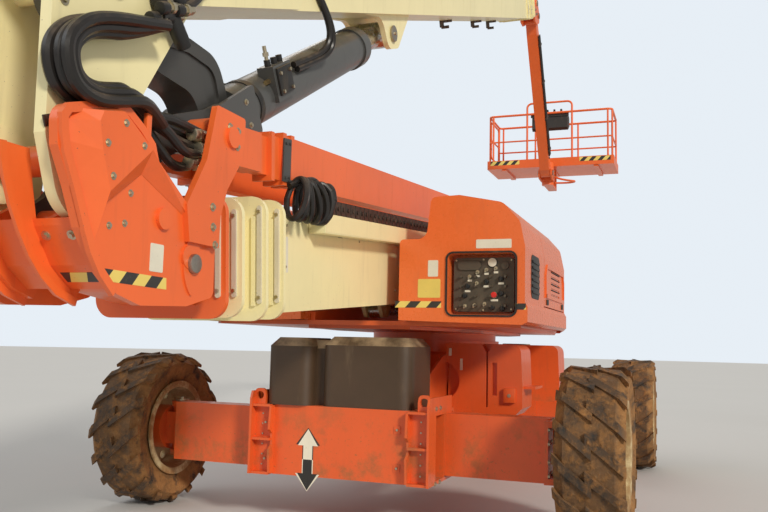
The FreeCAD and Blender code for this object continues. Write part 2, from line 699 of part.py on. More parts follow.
def make_rim(end, side, name):
    """Dished steel rim with a flat disc, a ring of windows and the planetary hub's cap."""
    middle_y = side * S.track / 2
    axle = end * AXLE_X
    lip = S.rim_od / 2
    bead = lip - 31
    half = S.tyre_w / 2 - 40
    disc_in = middle_y + side * 6
    disc_out = middle_y + side * 26
    section = [(bead, middle_y - side * (half - 22)), (lip, middle_y - side * (half - 4)),
               (lip, middle_y - side * (half + 10)), (bead - 16, middle_y - side * (half + 2)),
               (bead - 30, middle_y - side * 40), (bead - 30, disc_in), (60, disc_in), (60, disc_out),
               (bead - 26, disc_out), (bead - 12, middle_y + side * (half + 2)), (lip, middle_y + side * (half + 10)),
               (lip, middle_y + side * (half - 4)), (bead, middle_y + side * (half - 22))]
    rim = turned(section, (axle, WHEEL_Z))
    cap = rod("y", (axle, WHEEL_Z), S.hub_dia / 2 - 20, span_y(side, S.track / 2 + 6, S.track / 2 + 105))
    cap_end = rod("y", (axle, WHEEL_Z), 92, span_y(side, S.track / 2 + 104, S.track / 2 + 140))
    windows = []
    for index in range(8):
        angle = math.radians(index * 45 + 22.5)
        spot = (axle + 250 * math.cos(angle), WHEEL_Z + 250 * math.sin(angle))
        windows.append(rod("y", spot, 30, span_y(side, S.track / 2, S.track / 2 + 40)))
    node(name, fuse([cut(rim, windows), cap, cap_end]))


def hood_section(side, drop=0.0, tuck=0.0):
    """Hood outline across the machine: shoulder, step, crowned top and outer side."""
    out = S.hood_out - tuck
    top = S.hood_top - drop
    points = [(S.hood_in, S.deck_top), (S.hood_in, S.shoulder_z - drop * 0.6, 30),
              (S.shoulder_y - 30, S.shoulder_z - drop * 0.6, 70), (S.shoulder_y, top - 6, 45),
              (S.shoulder_y + 200, top + 2), (out - 150, top - 58, 90), (out - 34, top - 190, 90),
              (out, S.shoulder_z - 60 - drop * 0.4), (out, S.hood_low + 150), (out + 18, S.hood_low + 120),
              (out + 18, S.hood_low + 20), (out - 20, S.hood_low), (S.hood_in + S.hood_wall + 1, S.deck_top)]
    return [(side * y, z) + tuple(rest) for y, z, *rest in points]


def hood_hollow(side, drop=0.0, tuck=0.0):
    """The same outline drawn in by the panel's thickness and open below."""
    wall = S.hood_wall
    shoulder = S.shoulder_z - wall - drop * 0.6
    points = [(S.hood_in + wall, S.hood_low - 1), (S.hood_in + wall, shoulder), (S.shoulder_y + wall - 30, shoulder),
              (S.shoulder_y + wall, S.hood_top - wall - 12 - drop), (S.hood_out - 165 - tuck, S.hood_top - 64 - wall - drop),
              (S.hood_out - 54 - tuck, S.hood_top - 198 - drop),
              (S.hood_out - wall - tuck, S.shoulder_z - 66 - drop * 0.4), (S.hood_out - wall - tuck, S.hood_low - 1)]
    return [(side * y, z) for y, z in points]


def door_section(side):
    """The part of the hood outline that the door carries, outboard of the step."""
    out = S.hood_out
    top = S.hood_top
    wall = S.hood_wall
    inner = DOOR_IN
    points = [(inner, top - 4), (S.shoulder_y + 200, top + 2), (out - 150, top - 58, 90), (out - 34, top - 190, 90),
              (out, S.shoulder_z - 60), (out, DOOR_LOW), (out - wall, DOOR_LOW),
              (out - wall, S.shoulder_z - 62), (out - 34 - wall, top - 194, 80),
              (out - 154, top - 58 - wall, 80), (S.shoulder_y + 198, top - wall + 2), (inner, top - wall - 4)]
    return [(side * y, z) + tuple(rest) for y, z, *rest in points]


def make_hood_front(side):
    """Fixed cowl, the inner shoulder and the sill that frame the door; the right one has the panel recess."""
    outer = plate("x", hood_section(side), (S.hood_front, S.door_front))
    inner = plate("x", hood_hollow(side), (S.hood_front + S.hood_wall, S.door_front + 1))
    wall = S.hood_wall
    length = (S.door_front - 1, S.door_back)
    shoulder = [(S.hood_in, S.deck_top), (S.hood_in, S.shoulder_z, 30), (S.shoulder_y - 30, S.shoulder_z, 70),
                (S.shoulder_y, S.hood_top - 6, 30), (DOOR_IN - S.door_gap, S.hood_top - 5),
                (DOOR_IN - S.door_gap, S.hood_top - 5 - wall), (S.shoulder_y + wall, S.hood_top - 8 - wall),
                (S.shoulder_y + wall - 30, S.shoulder_z - wall), (S.hood_in + wall, S.shoulder_z - wall),
                (S.hood_in + wall, S.deck_top)]
    sill = [(S.deck_half - 30, S.deck_top), (S.deck_half + 5, S.deck_top), (S.hood_out - 20, S.hood_low), (S.hood_out + 18, S.hood_low + 20),
            (S.hood_out + 18, S.hood_low + 120), (S.hood_out, DOOR_LOW - S.door_gap),
            (S.hood_out - wall, DOOR_LOW - S.door_gap), (S.hood_out - wall, S.hood_low + 34), (S.deck_half - 30, S.hood_low + 34)]
    pieces = [cut(outer, [inner])]
    for profile in (shoulder, sill):
        pieces.append(plate("x", [(side * y, z) + tuple(rest) for y, z, *rest in profile], length))
    ear = [(DOOR_IN - 30, S.hood_top - 13), (DOOR_IN - 10, S.hood_top - 13), (HINGE_Y + 9, HINGE_Z - 4),
           (HINGE_Y + 9, HINGE_Z + 9), (HINGE_Y - 9, HINGE_Z + 9), (DOOR_IN - 30, HINGE_Z - 10)]
    for start in HINGE_X:
        pieces.append(rod("x", (side * HINGE_Y, HINGE_Z), S.hinge_r, (start - 30, start + 110)))
        for low in (start - 30, start + 86):
            pieces.append(plate("x", [(side * y, z) for y, z in ear], (low, low + 24)))
    shell = fuse(pieces)
    if side > 0:
        return shell
    half_w, half_h = S.panel_w / 2, S.panel_h / 2
    frame = [(side * (S.panel_y - half_w - 12), S.panel_z - half_h - 12, 40),
             (side * (S.panel_y + half_w + 12), S.panel_z - half_h - 12, 40),
             (side * (S.panel_y + half_w + 12), S.panel_z + half_h + 12, 40),
             (side * (S.panel_y - half_w - 12), S.panel_z + half_h + 12, 40)]
    window = [(side * (S.panel_y - half_w), S.panel_z - half_h, 34), (side * (S.panel_y + half_w), S.panel_z - half_h, 34),
              (side * (S.panel_y + half_w), S.panel_z + half_h, 34), (side * (S.panel_y - half_w), S.panel_z + half_h, 34)]
    recess = plate("x", frame, (S.hood_front + 2, S.hood_front + S.panel_deep + S.hood_wall))
    opening = plate("x", window, (S.hood_front - 1, S.hood_front + S.panel_deep))
    return cut(fuse([shell, recess]), [opening])


def make_control_panel():
    """Ground controls: a faced plate with a meter window, dial, switch bosses and a key switch."""
    back = S.hood_front + S.panel_deep
    half_w, half_h = S.panel_w / 2 - 22, S.panel_h / 2 - 22
    middle = -S.panel_y
    points = [(middle - half_w, S.panel_z - half_h, 26), (middle + half_w, S.panel_z - half_h, 26),
              (middle + half_w, S.panel_z + half_h, 26), (middle - half_w, S.panel_z + half_h, 26)]
    pieces = [plate("x", points, (back - 70, back))]
    meter = [(middle + half_w - 190, S.panel_z + half_h - 84, 26), (middle + half_w - 30, S.panel_z + half_h - 84, 26),
             (middle + half_w - 30, S.panel_z + half_h - 24, 26), (middle + half_w - 190, S.panel_z + half_h - 24, 26)]
    pieces.append(plate("x", meter, (back - 82, back - 69)))
    # switch columns and rows over the panel, right to left and top down
    for column in range(4):
        for row in range(4):
            y = middle - half_w + 55 + column * (2 * half_w - 110) / 3
            z = S.panel_z + half_h - 130 - row * (2 * half_h - 170) / 3
            pieces.append(rod("x", (y, z), 9, (back - 104, back - 69)))
    pieces.append(rod("x", (middle - half_w + 60, S.panel_z + half_h - 56), 26, (back - 84, back - 69)))
    node("control_panel", fuse(pieces))


def make_hood_door(side, name):
    """Gull-wing door: the outer side and crown of the hood as one moulded panel on two hinge arms."""
    span = (S.door_front + S.door_gap, S.door_back - S.door_gap)
    body = plate("x", door_section(side), span)
    grooves = []
    for row in range(5):
        z = S.hood_low + 250 + row * 46
        grooves.append(box((S.door_front + 330, S.door_front + 760), span_y(side, S.hood_out - 5, S.hood_out + 1), (z, z + 22)))
    arms = []
    bores = []
    for start in HINGE_X:
        length = (start, start + 80)
        arm = [(HINGE_Y, HINGE_Z - 14), (DOOR_IN + 10, S.hood_top - 8), (DOOR_IN + 70, S.hood_top - 8),
               (DOOR_IN + 70, S.hood_top + 6), (HINGE_Y + 6, HINGE_Z + 14), (HINGE_Y, HINGE_Z + 14)]
        arms.append(plate("x", [(side * y, z) for y, z in arm], length))
        arms.append(rod("x", (side * HINGE_Y, HINGE_Z), S.hinge_r + 6, length))
        bores.append(rod("x", (side * HINGE_Y, HINGE_Z), S.hinge_r + S.fit, length))
    node("hood_door_" + name, cut(fuse([cut(body, grooves)] + arms), bores))


def make_hood_tail(side):
    """Fixed tail cowl that falls away and tucks in towards the counterweight."""
    share = 1 - float(S.hood_wall) / float(S.tail_back - S.door_back)
    outer = lofted([(S.door_back, hood_section(side)), (S.tail_back, hood_section(side, S.tail_drop, S.tail_tuck))])
    inner = lofted([(S.door_back - 1, hood_hollow(side)),
                    (S.tail_back - S.hood_wall, hood_hollow(side, S.tail_drop * share, S.tail_tuck * share))])
    narrowed = S.deck_half - DECK_TUCK * (S.tail_back - S.door_back) / (S.deck_back - S.door_back)
    seat = [(S.door_back - 2, S.hood_in - 1), (S.door_back - 2, S.deck_half + 6), (S.door_back, S.deck_half + 6),
            (S.tail_back + 2, narrowed + 6), (S.tail_back + 2, S.hood_in - 1)]
    deck_room = plate("z", [(x, side * y) for x, y in seat], (S.hood_low - 2, S.deck_top))
    return cut(outer, [inner, deck_room])


def make_turntable():
    """Deck, upper half of the slewing ring, boom supports, hood sills, counterweight, engine."""
    points = [(S.deck_front, -S.deck_half + 60), (S.deck_front, S.deck_half - 60), (S.deck_front + 60, S.deck_half),
              (S.door_back, S.deck_half), (S.deck_back, S.deck_half - DECK_TUCK), (S.deck_back, -S.deck_half + DECK_TUCK),
              (S.door_back, -S.deck_half), (S.deck_front + 60, -S.deck_half)]
    deck = plate("z", points, (S.deck_top - 34, S.deck_top))
    under = [(S.deck_front + 40, -S.cheek_in - 60), (S.deck_front + 40, S.cheek_in + 60), (-S.ring_r - 200, S.ring_r + 40),
             (S.ring_r + 300, S.ring_r + 40), (S.deck_back, S.cheek_in + 60), (S.deck_back, -S.cheek_in - 60),
             (S.ring_r + 300, -S.ring_r - 40), (-S.ring_r - 200, -S.ring_r - 40)]
    keel = plate("z", under, (S.deck_low, S.deck_top - 33))
    upper_ring = rod("z", (0, 0), S.ring_r - 30, (S.ring_z + SEAT / 2, S.deck_low + 1))
    node("turntable_deck", fuse([deck, keel, upper_ring]))
    sides = []
    link_x = S.pivot_x + S.link_dx
    link_z = S.pivot_z + S.link_dz
    link_hub = S.link_in + S.link_w + 8
    for side, _ in SIDES:
        profile = [(S.deck_front + 20, S.deck_top), (S.deck_front + 20, S.deck_top + 60), (-600, S.deck_top + 180),
                   (600, S.pivot_z - 60), (S.pivot_x - 60, link_z - 90), (link_x - 125, link_z + 118, 110),
                   (link_x + 128, link_z + 118, 110), (link_x + 128, S.pivot_z - 80), (S.pivot_x + 130, S.deck_top)]
        cheek_parts = [plate("y", profile, span_y(side, S.cheek_in, S.cheek_in + S.cheek)),
                       rod("y", (link_x, link_z), 82, span_y(side, link_hub, S.cheek_in + 1))]
        for spot, radius in (((S.pivot_x, S.pivot_z), 92), ((link_x, link_z), 76)):
            cheek_parts.append(rod("y", spot, radius, span_y(side, S.cheek_in + S.cheek - 1, S.cheek_in + S.cheek + 12)))
        sides.append(fuse(cheek_parts))
    group("boom_supports", sides)
    pins = [rod("y", (S.pivot_x, S.pivot_z), S.pin_r + 14, (-S.cheek_in, S.cheek_in)),
            rod("y", (link_x, link_z), S.pin_r, (-link_hub, link_hub)),
            rod("y", (S.lift_foot_x, S.lift_foot_z), 34, (-S.cheek_in, S.cheek_in))]
    group("boom_pins", pins)
    back = [(S.weight_front, S.weight_slot), (S.weight_front, S.weight_half)]
    reach = float(S.tail_r)
    corner = math.asin(float(S.weight_half) / reach)
    for share in (1.0, 0.82, 0.62):
        angle = corner * share
        back.append((reach * math.cos(angle), reach * math.sin(angle)))
    back.append((math.sqrt(reach ** 2 - float(S.weight_slot) ** 2), S.weight_slot))
    halves = []
    for side, _ in SIDES:
        halves.append(plate("z", [(x, side * y) for x, y in back], (S.deck_top, S.weight_top)))
    bridge = box((S.pivot_x + 300, S.tail_r - 25), (-S.weight_slot - 5, S.weight_slot + 5),
                 (S.deck_top, S.pivot_z - 450))
    node("counterweight", fuse(halves + [bridge]))
    node("engine_block", box((-1000, 350), (S.hood_in + 110, S.hood_out - 245), (S.deck_top, S.shoulder_z - 80)))


def section(span, middle_v, half_y, half_z, wall):
    """Open rectangular boom section along its own X."""
    outer = box(span, (-half_y, half_y), (middle_v - half_z, middle_v + half_z))
    inner = box((span[0] - 1, span[1] + 1), (-half_y + wall, half_y - wall),
                (middle_v - half_z + wall, middle_v + half_z - wall))
    return cut(outer, [inner])


def collar(start, middle_v, half_y, half_z, hole_y, hole_z, thick, corner, rise=0):
    """Wear-pad collar: a rounded plate square to the boom with the section's opening through it."""
    span = (start, start + thick)
    bottom, top = middle_v + rise - half_z, middle_v + rise + half_z
    points = [(-half_y, bottom, corner), (half_y, bottom, corner), (half_y, top, corner), (-half_y, top, corner)]
    hole = box((span[0] - 1, span[1] + 1), (-hole_y, hole_y), (middle_v - hole_z, middle_v + hole_z))
    return cut(plate("x", points, span), [hole])


def make_tower():
    """Three nested sections; their own X runs from the nose back to the tower pivot."""
    place = pitched(S.pivot_x, S.pivot_z, S.tower_slope)
    half_y, half_z = S.tower_w / 2, S.tower_h / 2
    step = S.boom_wall + S.nest
    tube_piece = section((-S.mouth, 120), 0, half_y, half_z, S.boom_wall)
    rear = [(60, -half_z), (60, half_z), (130, half_z, 60), (200, 60, 60), (200, -60, 60), (130, -half_z, 60)]
    heel = plate("y", rear, (-half_y, half_y))
    hub = rod("y", (0, 0), 150, (-S.cheek_in + 4, S.cheek_in - 4))
    bore = rod("y", (0, 0), S.pin_r + 14 + S.fit, (-S.cheek_in, S.cheek_in))
    collars = []
    for start in (-S.mouth, -S.mouth + S.collar_step):
        collars.append(collar(start, 0, S.collar_y, S.collar_z, half_y - step + SEAT, half_z - step + SEAT, S.collar, 85,
                              S.collar_up))
        for side, _ in SIDES:
            collars.append(box((start - 14, start + 60), span_y(side, half_y + 36, half_y + 56), (-215, 215)))
    eye_x = S.lift_eye_x - S.pivot_x
    eye_z = S.lift_eye_z - S.pivot_z
    slope = math.radians(float(S.tower_slope))
    lug_u = eye_x * math.cos(slope) + eye_z * math.sin(slope)
    lug_v = eye_z * math.cos(slope) - eye_x * math.sin(slope)
    ears = []
    for side, _ in SIDES:
        profile = [(lug_u - 130, -half_z + 2), (lug_u - 52, lug_v - 48, 40), (lug_u + 52, lug_v - 48, 40), (lug_u + 130, -half_z + 2)]
        ears.append(plate("y", profile, span_y(side, 52, 80)))
    stubs = [rod("y", (lug_u, lug_v), 30, wall) for wall in both(46 + SEAT, 84)]
    inner_box = box((-S.mouth + 30, -160), (-half_y + S.boom_wall, half_y - S.boom_wall),
                    (-half_z + S.boom_wall, half_z - S.boom_wall))
    solid = cut(fuse([tube_piece, heel, hub] + collars + ears + stubs), [bore, inner_box])
    node("tower_base", solid, place)

    mid_y, mid_z = half_y - step, half_z - step
    mid = section((-S.mid_collar, -420), 0, mid_y, mid_z, S.boom_wall)
    mid_plate = collar(-S.mid_collar, 0, S.collar_y - 6, S.slim_collar_z, mid_y - step + SEAT, mid_z - step + SEAT,
                       S.collar, 85, S.collar_up)
    node("tower_mid", fuse([mid, mid_plate]), place)

    fly_y, fly_z = mid_y - step, mid_z - step
    fly = section((-S.fly_collar, -620), 0, fly_y, fly_z, S.boom_wall)
    fly_plate = collar(-S.fly_collar, 0, S.collar_y - 12, S.slim_collar_z, fly_y - 14, fly_z - 14,
                       S.collar, 85, S.collar_up)
    nose = [(-S.fly_collar + 26, -fly_z + 8), (-S.fly_collar - 2, -fly_z + 8), (-S.tower_long - S.nose_r, -S.nose_r, S.nose_r - 2),
            (-S.tower_long - S.nose_r, S.nose_r, S.nose_r - 2), (-S.fly_collar - 2, fly_z - 8), (-S.fly_collar + 26, fly_z - 8)]
    head = plate("y", nose, (-S.nose_half, S.nose_half))
    pin_hole = rod("y", (-S.tower_long, 0), S.pin_r + S.fit, (-S.nose_half - 1, S.nose_half + 1))
    node("tower_fly", cut(fuse([fly, fly_plate, head]), [pin_hole]), place)


def make_links():
    """Two telescopic upper links beside the lift cylinder, parallel to the tower."""
    link_x = S.pivot_x + S.link_dx
    link_z = S.pivot_z + S.link_dz
    place = pitched(link_x, link_z, S.tower_slope)
    wall = S.boom_wall - 2
    step = wall + 6
    bases, mids, flies = [], [], []
    for side, _ in SIDES:
        middle = S.link_in + S.link_w / 2

        def bar(span, half_y, half_z, thick):
            outer = box(span, span_y(side, middle - half_y, middle + half_y), (-half_z, half_z))
            inner = box((span[0] - 1, span[1] + 1), span_y(side, middle - half_y + thick, middle + half_y - thick),
                        (-half_z + thick, half_z - thick))
            return cut(outer, [inner])

        half_y, half_z = S.link_w / 2, S.link_h / 2
        head = rod("y", (0, 0), 118, span_y(side, S.link_in, S.link_in + S.link_w))
        tongue = box((-150, 0), span_y(side, S.link_in, S.link_in + S.link_w), (-118, 118))
        strap = []
        for start in (-S.link_mouth, -S.link_mouth + 90):
            outer = box((start, start + 40), span_y(side, S.link_in, S.link_in + S.link_w + 8), (-half_z - 12, half_z + 12))
            tight = half_y - step + SEAT
            hole = box((start - 1, start + 41), span_y(side, middle - tight, middle + tight),
                       (-half_z + step - SEAT, half_z - step + SEAT))
            strap.append(cut(outer, [hole]))
        pin_hole = rod("y", (0, 0), S.pin_r + S.fit, span_y(side, S.link_in - 1, S.link_in + S.link_w + 1))
        bases.append(cut(fuse([bar((-S.link_mouth, -140), half_y, half_z, wall), head, tongue] + strap), [pin_hole]))
        tight = half_y - 2 * step + SEAT
        lip = cut(box((-S.link_mouth - 112, -S.link_mouth - 80), span_y(side, middle - half_y, middle + half_y),
                      (-half_z, half_z)),
                  [box((-S.link_mouth - 113, -S.link_mouth - 79), span_y(side, middle - tight, middle + tight),
                       (-half_z + 2 * step - SEAT, half_z - 2 * step + SEAT))])
        mids.append(fuse([bar((-S.link_mouth - 110, -400), half_y - step, half_z - step, wall), lip]))
        inner_y, inner_z = half_y - 2 * step, half_z - 2 * step
        shaft = bar((-S.link_mouth - 220, -640), inner_y, inner_z, wall)
        nose = plate("y", [(-S.link_mouth - 216, -inner_z), (-S.tower_long - 92, -92, 90), (-S.tower_long - 92, 92, 90),
                           (-S.link_mouth - 216, inner_z)], span_y(side, middle - half_y, middle + half_y))
        nose_hole = rod("y", (-S.tower_long, 0), S.pin_r + S.fit, span_y(side, S.link_in - 1, S.link_in + S.link_w + 1))
        flies.append(cut(fuse([shaft, nose]), [nose_hole]))
    for name, pieces in (("upper_link_base", bases), ("upper_link_mid", mids), ("upper_link_fly", flies)):
        group(name, pieces, place)


def nose_pin():
    """Place of the tower's nose pin and of the upper links' nose pins."""
    slope = math.radians(float(S.tower_slope))
    x = S.pivot_x - S.tower_long * math.cos(slope)
    z = S.pivot_z - S.tower_long * math.sin(slope)
    return x, z, x + S.link_dx, z + S.link_dz


def make_yoke():
    """Upright at the tower's nose: two pressed side plates, pins, bolted link brackets, webs."""
    tower_x, tower_z, link_x, link_z = nose_pin()
    profile = [(tower_x + 205, tower_z - 150, 40), (tower_x + 200, tower_z + 120), (tower_x + 40, tower_z + 160),
               (-4850, 1930), (-4875, 2000), (-5015, 2100, 40), (-5130, 2100, 60), (-5385, 2010, 70),
               (-5372, 1880), (-5305, 1755), (-5245, 1625), (-5150, 1500, 120), (-5040, 1415, 60), (-4900, 1380, 60),
               (-4600, 1392)]
    pieces = []
    for side, _ in SIDES:
        pieces.append(plate("y", profile, span_y(side, S.yoke_in, S.yoke_in + S.yoke_plate)))
        pieces.append(rod("y", (tower_x - 185, tower_z + 130), 42, span_y(side, S.yoke_in + S.yoke_plate - 1, S.yoke_in + S.yoke_plate + 16)))
        bracket = [(tower_x + 190, tower_z + 60), (tower_x - 30, tower_z + 60), (tower_x - 60, tower_z + 210),
                   (link_x - 190, link_z - 140), (link_x - 150, link_z + 20, 30), (link_x - 128, link_z + 112, 16),
                   (link_x + 112, link_z + 112, 16), (link_x + 112, link_z - 60), (link_x - 20, link_z - 240),
                   (tower_x + 196, tower_z + 200)]
        pieces.append(plate("y", bracket, span_y(side, S.yoke_in + S.yoke_plate - 2, S.yoke_in + S.yoke_plate + 26)))
        pieces.append(rod("y", (link_x, link_z), S.pin_r, span_y(side, S.link_in - 2, S.yoke_in + S.yoke_plate + 40)))
    pieces.append(rod("y", (tower_x, tower_z), S.pin_r, (-S.yoke_in - S.yoke_plate - 12, S.yoke_in + S.yoke_plate + 12)))
    pieces.append(rod("y", (S.main_x, S.main_z), S.pin_r + 10, (-S.yoke_in - S.yoke_plate - 12, S.yoke_in + S.yoke_plate + 12)))
    pieces.append(rod("y", (S.link_pin_x, S.link_pin_z), S.pin_r - 6, (-S.clevis_in - 34, S.clevis_in + 34)))
    inner = [(-5212, 1654), (-5120, 1519), (-5017, 1444), (-4945, 1452), (S.link_pin_x + 82, S.link_pin_z - 60, 70),
             (S.link_pin_x + 82, S.link_pin_z + 74, 70), (S.link_pin_x - 60, S.link_pin_z + 74, 60)]
    for side, _ in SIDES:
        pieces.append(plate("y", inner, span_y(side, S.clevis_in + 2, S.clevis_in + 28)))
    cross = [(-5228, 1664), (-5200, 1652), (-5111, 1528), (-5012, 1454), (-5022, 1434), (-5128, 1510), (-5218, 1640)]
    pieces.append(plate("y", cross, (-S.yoke_in - 1, S.yoke_in + 1)))
    node("yoke", chain(pieces))


def make_main_boom():
    """Three nested sections with the foot plates at the pivot and the lift lug below."""
    place = pitched(S.main_x, S.main_z, S.main_angle)
    half_y, half_z = S.main_w / 2, S.main_h / 2
    middle = S.main_low + half_z
    step = S.boom_wall + S.nest
    low, top = S.main_low, S.main_low + S.main_h
    tube_parts = [section((S.main_start, S.main_mouth), middle, half_y, half_z, S.boom_wall)]
    for start in (S.main_mouth - 30, S.main_mouth - 260):
        tube_parts.append(collar(start, middle, half_y + 14, half_z + 14, half_y - step + SEAT, half_z - step + SEAT, 30, 30))
    node("main_base", cut(fuse(tube_parts), [
        box((S.main_start - 1, S.main_mouth - 31), (-half_y + S.boom_wall, half_y - S.boom_wall),
            (low + S.boom_wall, top - S.boom_wall))]), place)

    foot = [(-225, -225, 215), (225, -225, 190), (250, 120, 60), (820, low, 40), (1900, low), (2050, low + 120, 60),
            (1900, top - 60), (1500, top - 10), (130, top - 10, 60), (-215, 120)]
    foot_parts = []
    lugs = []
    for side, _ in SIDES:
        foot_parts.append(plate("y", foot, span_y(side, S.cheek_main, S.cheek_main + S.foot_plate)))
        foot_parts.append(box((S.main_start + 20, 1880), span_y(side, half_y, S.cheek_main + 5), (low + 60, top - 90)))
        foot_parts.append(rod("y", (0, 0), 150, span_y(side, S.cheek_main - 30, S.cheek_main + S.foot_plate + 12)))
        lug = [(S.lug_u - 560, low), (S.lug_u - 190, low - 20, 150), (S.lug_u - 112, S.lug_v - 112, 100),
               (S.lug_u + 112, S.lug_v - 112, 100), (S.lug_u + 470, low)]
        lugs.append(fuse([plate("y", lug, span_y(side, 112, 150)),
                          rod("y", (S.lug_u, S.lug_v), S.pin_r, span_y(side, 104 + SEAT, 160))]))
    goose = place.inverse().multVec(V(float(S.goose_x), 0, float(S.goose_z)))
    foot_parts.append(rod("y", (goose.x, goose.z), S.pin_r - 6, (-S.cheek_main - S.foot_plate - 6, S.cheek_main + S.foot_plate + 6)))
    foot_parts.append(box((60, 100), (-S.cheek_main - 1, S.cheek_main + 1), (top - 260, top - 40)))
    bore = rod("y", (0, 0), S.pin_r + 10 + S.fit, (-S.yoke_in, S.yoke_in))
    node("main_foot", cut(fuse(foot_parts), [bore]), place)
    group("lift_lug", lugs, place)

    mid_y, mid_z = half_y - step, half_z - step
    mid = section((S.main_start + 100, S.main_mid_end), middle, mid_y, mid_z, S.boom_wall)
    mid_end = collar(S.main_mid_end - 40, middle, half_y + 4, half_z + 4, mid_y - step + SEAT, mid_z - step + SEAT, 40, 24)
    node("main_mid", fuse([mid, mid_end]), place)

    fly_y, fly_z = mid_y - step, mid_z - step
    fly = section((S.main_start + 250, S.main_fly_end), middle, fly_y, fly_z, S.boom_wall)
    fly_end = collar(S.main_fly_end - 40, middle, fly_y + 22, fly_z + 22, fly_y - 12, fly_z - 12, 40, 20)
    nose = [(S.main_fly_end - 60, middle - fly_z + 12), (S.main_fly_end + 60, middle - fly_z + 12),
            (S.tip_u - 300, S.tip_v - 100), (S.tip_u + 92, S.tip_v - 92, 88), (S.tip_u + 92, S.tip_v + 92, 88), (S.main_fly_end + 60, middle + fly_z - 12),
            (S.main_fly_end - 60, middle + fly_z - 12)]
    head = plate("y", nose, (-S.knuckle_in + 8, S.knuckle_in - 8))
    tip_pin = rod("y", (S.tip_u, S.tip_v), 40, (-S.knuckle_in - S.knuckle_plate - 8, S.knuckle_in + S.knuckle_plate + 8))
    node("main_fly", fuse([fly, fly_end, head, tip_pin]), place)


def between(start, end):
    """Length and rise angle of the line from one pin to another, both (x, z)."""
    dx, dz = float(end[0] - start[0]), float(end[1] - start[1])
    return math.hypot(dx, dz), math.degrees(math.atan2(dz, dx))


def make_lift_linkage():
    """Lower link, gooseneck and the main lift cylinder that meet at one pin."""
    pin = (S.link_pin_x, S.link_pin_z)
    joint = (S.joint_x, S.joint_z)
    goose = (S.goose_x, S.goose_z)
    long, angle = between(pin, joint)
    plates = []
    for side, _ in SIDES:
        profile = [(-78, -78, 76), (70, -78, 60), (250, -16, 100), (430, 26, 60), (650, 26, 60), (800, -50, 80),
                   (long - 60, -100), (long + 102, -100, 98), (long + 102, 100, 98), (long - 80, 110, 100), (700, 182, 160),
                   (350, 168, 160), (156, 112, 60), (50, 80), (-78, 80, 76)]
        blade = plate("y", profile, span_y(side, S.lower_in, S.lower_in + S.lower_plate))
        plates.append(cut(blade, [rod("y", (0, 0), S.pin_r - 6 + S.fit, span_y(side, S.lower_in - 1, S.lower_in + S.lower_plate + 1))]))
        plates.append(rod("y", (long, 0), S.pin_r, span_y(side, S.goose_half + 6, S.clevis_in + S.clevis_plate + 4)))
    bridge = box((long * 0.42, long * 0.42 + 60), (-S.lower_in - 1, S.lower_in + 1), (50, 110))
    node("lift_link", fuse(plates + [bridge]), pitched(pin[0], pin[1], angle))

    long, angle = between(goose, joint)
    turn = math.radians(angle)

    def local(x, z, *rest):
        dx, dz = float(x - goose[0]), float(z - goose[1])
        return (dx * math.cos(turn) + dz * math.sin(turn), dz * math.cos(turn) - dx * math.sin(turn)) + tuple(rest)

    arch = [local(-5135, 2600, 80), local(-5060, 2690, 80), local(-4560, 2590, 200), local(-4310, 2655, 160),
            local(-4060, 2640, 170), local(-3945, 2470, 200), local(-3940, 2195, 100), local(-4160, 2195, 100),
            local(-4215, 2400, 150), local(-4500, 2420, 200), local(-5060, 2480, 80)]
    neck = plate("y", arch, (-S.goose_half, S.goose_half))
    groove = []
    for side, _ in SIDES:
        groove.append(plate("y", [local(-4560, 2545, 60), local(-4300, 2585, 100), local(-4080, 2570, 100),
                                  local(-4010, 2410, 40), local(-4120, 2400, 40), local(-4200, 2470, 80), local(-4560, 2470, 40)],
                            span_y(side, S.goose_half - 12, S.goose_half + 1)))
    hole = rod("y", (0, 0), S.pin_r - 6 + S.fit, (-S.goose_half - 1, S.goose_half + 1))
    node("lift_gooseneck", cut(neck, groove + [hole]), pitched(goose[0], goose[1], angle))

    eye = pitched(S.main_x, S.main_z, S.main_angle).multVec(V(float(S.lug_u), 0, float(S.lug_v)))
    long, angle = between(joint, (eye.x, eye.z))
    place = pitched(joint[0], joint[1], angle)
    foot = []
    for side, _ in SIDES:
        profile = [(-105, -105, 100), (330, -128, 20), (330, 128, 20), (60, 112, 60), (-105, 105, 100)]
        blade = plate("y", profile, span_y(side, S.clevis_in, S.clevis_in + S.clevis_plate))
        foot.append(cut(blade, [rod("y", (0, 0), S.pin_r + S.fit, span_y(side, S.clevis_in - 1, S.clevis_in + S.clevis_plate + 1))]))
    barrel = rod("x", (0, 0), S.barrel_r, (230, 2090))
    gland = rod("x", (0, 0), S.barrel_r + 12, (2060, 2170))
    block = box((580, 800), (-158, -60), (-30, 165))
    inside = rod("x", (0, 0), S.rod_r + 6, (540, 2171))
    node("lift_barrel", cut(fuse(foot + [barrel, gland, block]), [inside]), place)
    shaft = rod("x", (0, 0), S.rod_r, (620, long - 60))
    eye_end = rod("y", (long, 0), 100, (-104, 104))
    node("lift_rod", fuse([shaft, eye_end]), place)


def make_tower_cylinder():
    """Tower lift cylinder lying between the boom supports."""
    foot = (S.lift_foot_x, S.lift_foot_z)
    eye = (S.lift_eye_x, S.lift_eye_z)
    long, angle = between(foot, eye)
    place = pitched(foot[0], foot[1], angle)
    end = rod("y", (0, 0), 60, (-70, 70))
    barrel = rod("x", (0, 0), S.lift_barrel_r, (40, 1950))
    hole = rod("y", (0, 0), 34 + S.fit, (-71, 71))
    inside = rod("x", (0, 0), S.lift_rod_r + 4, (700, 1951))
    node("tower_lift_barrel", cut(fuse([end, barrel]), [hole, inside]), place)
    shaft = rod("x", (0, 0), S.lift_rod_r, (760, long - 20))
    eye_end = rod("y", (long, 0), 48, (-46, 46))
    node("tower_lift_rod", fuse([shaft, eye_end]), place)


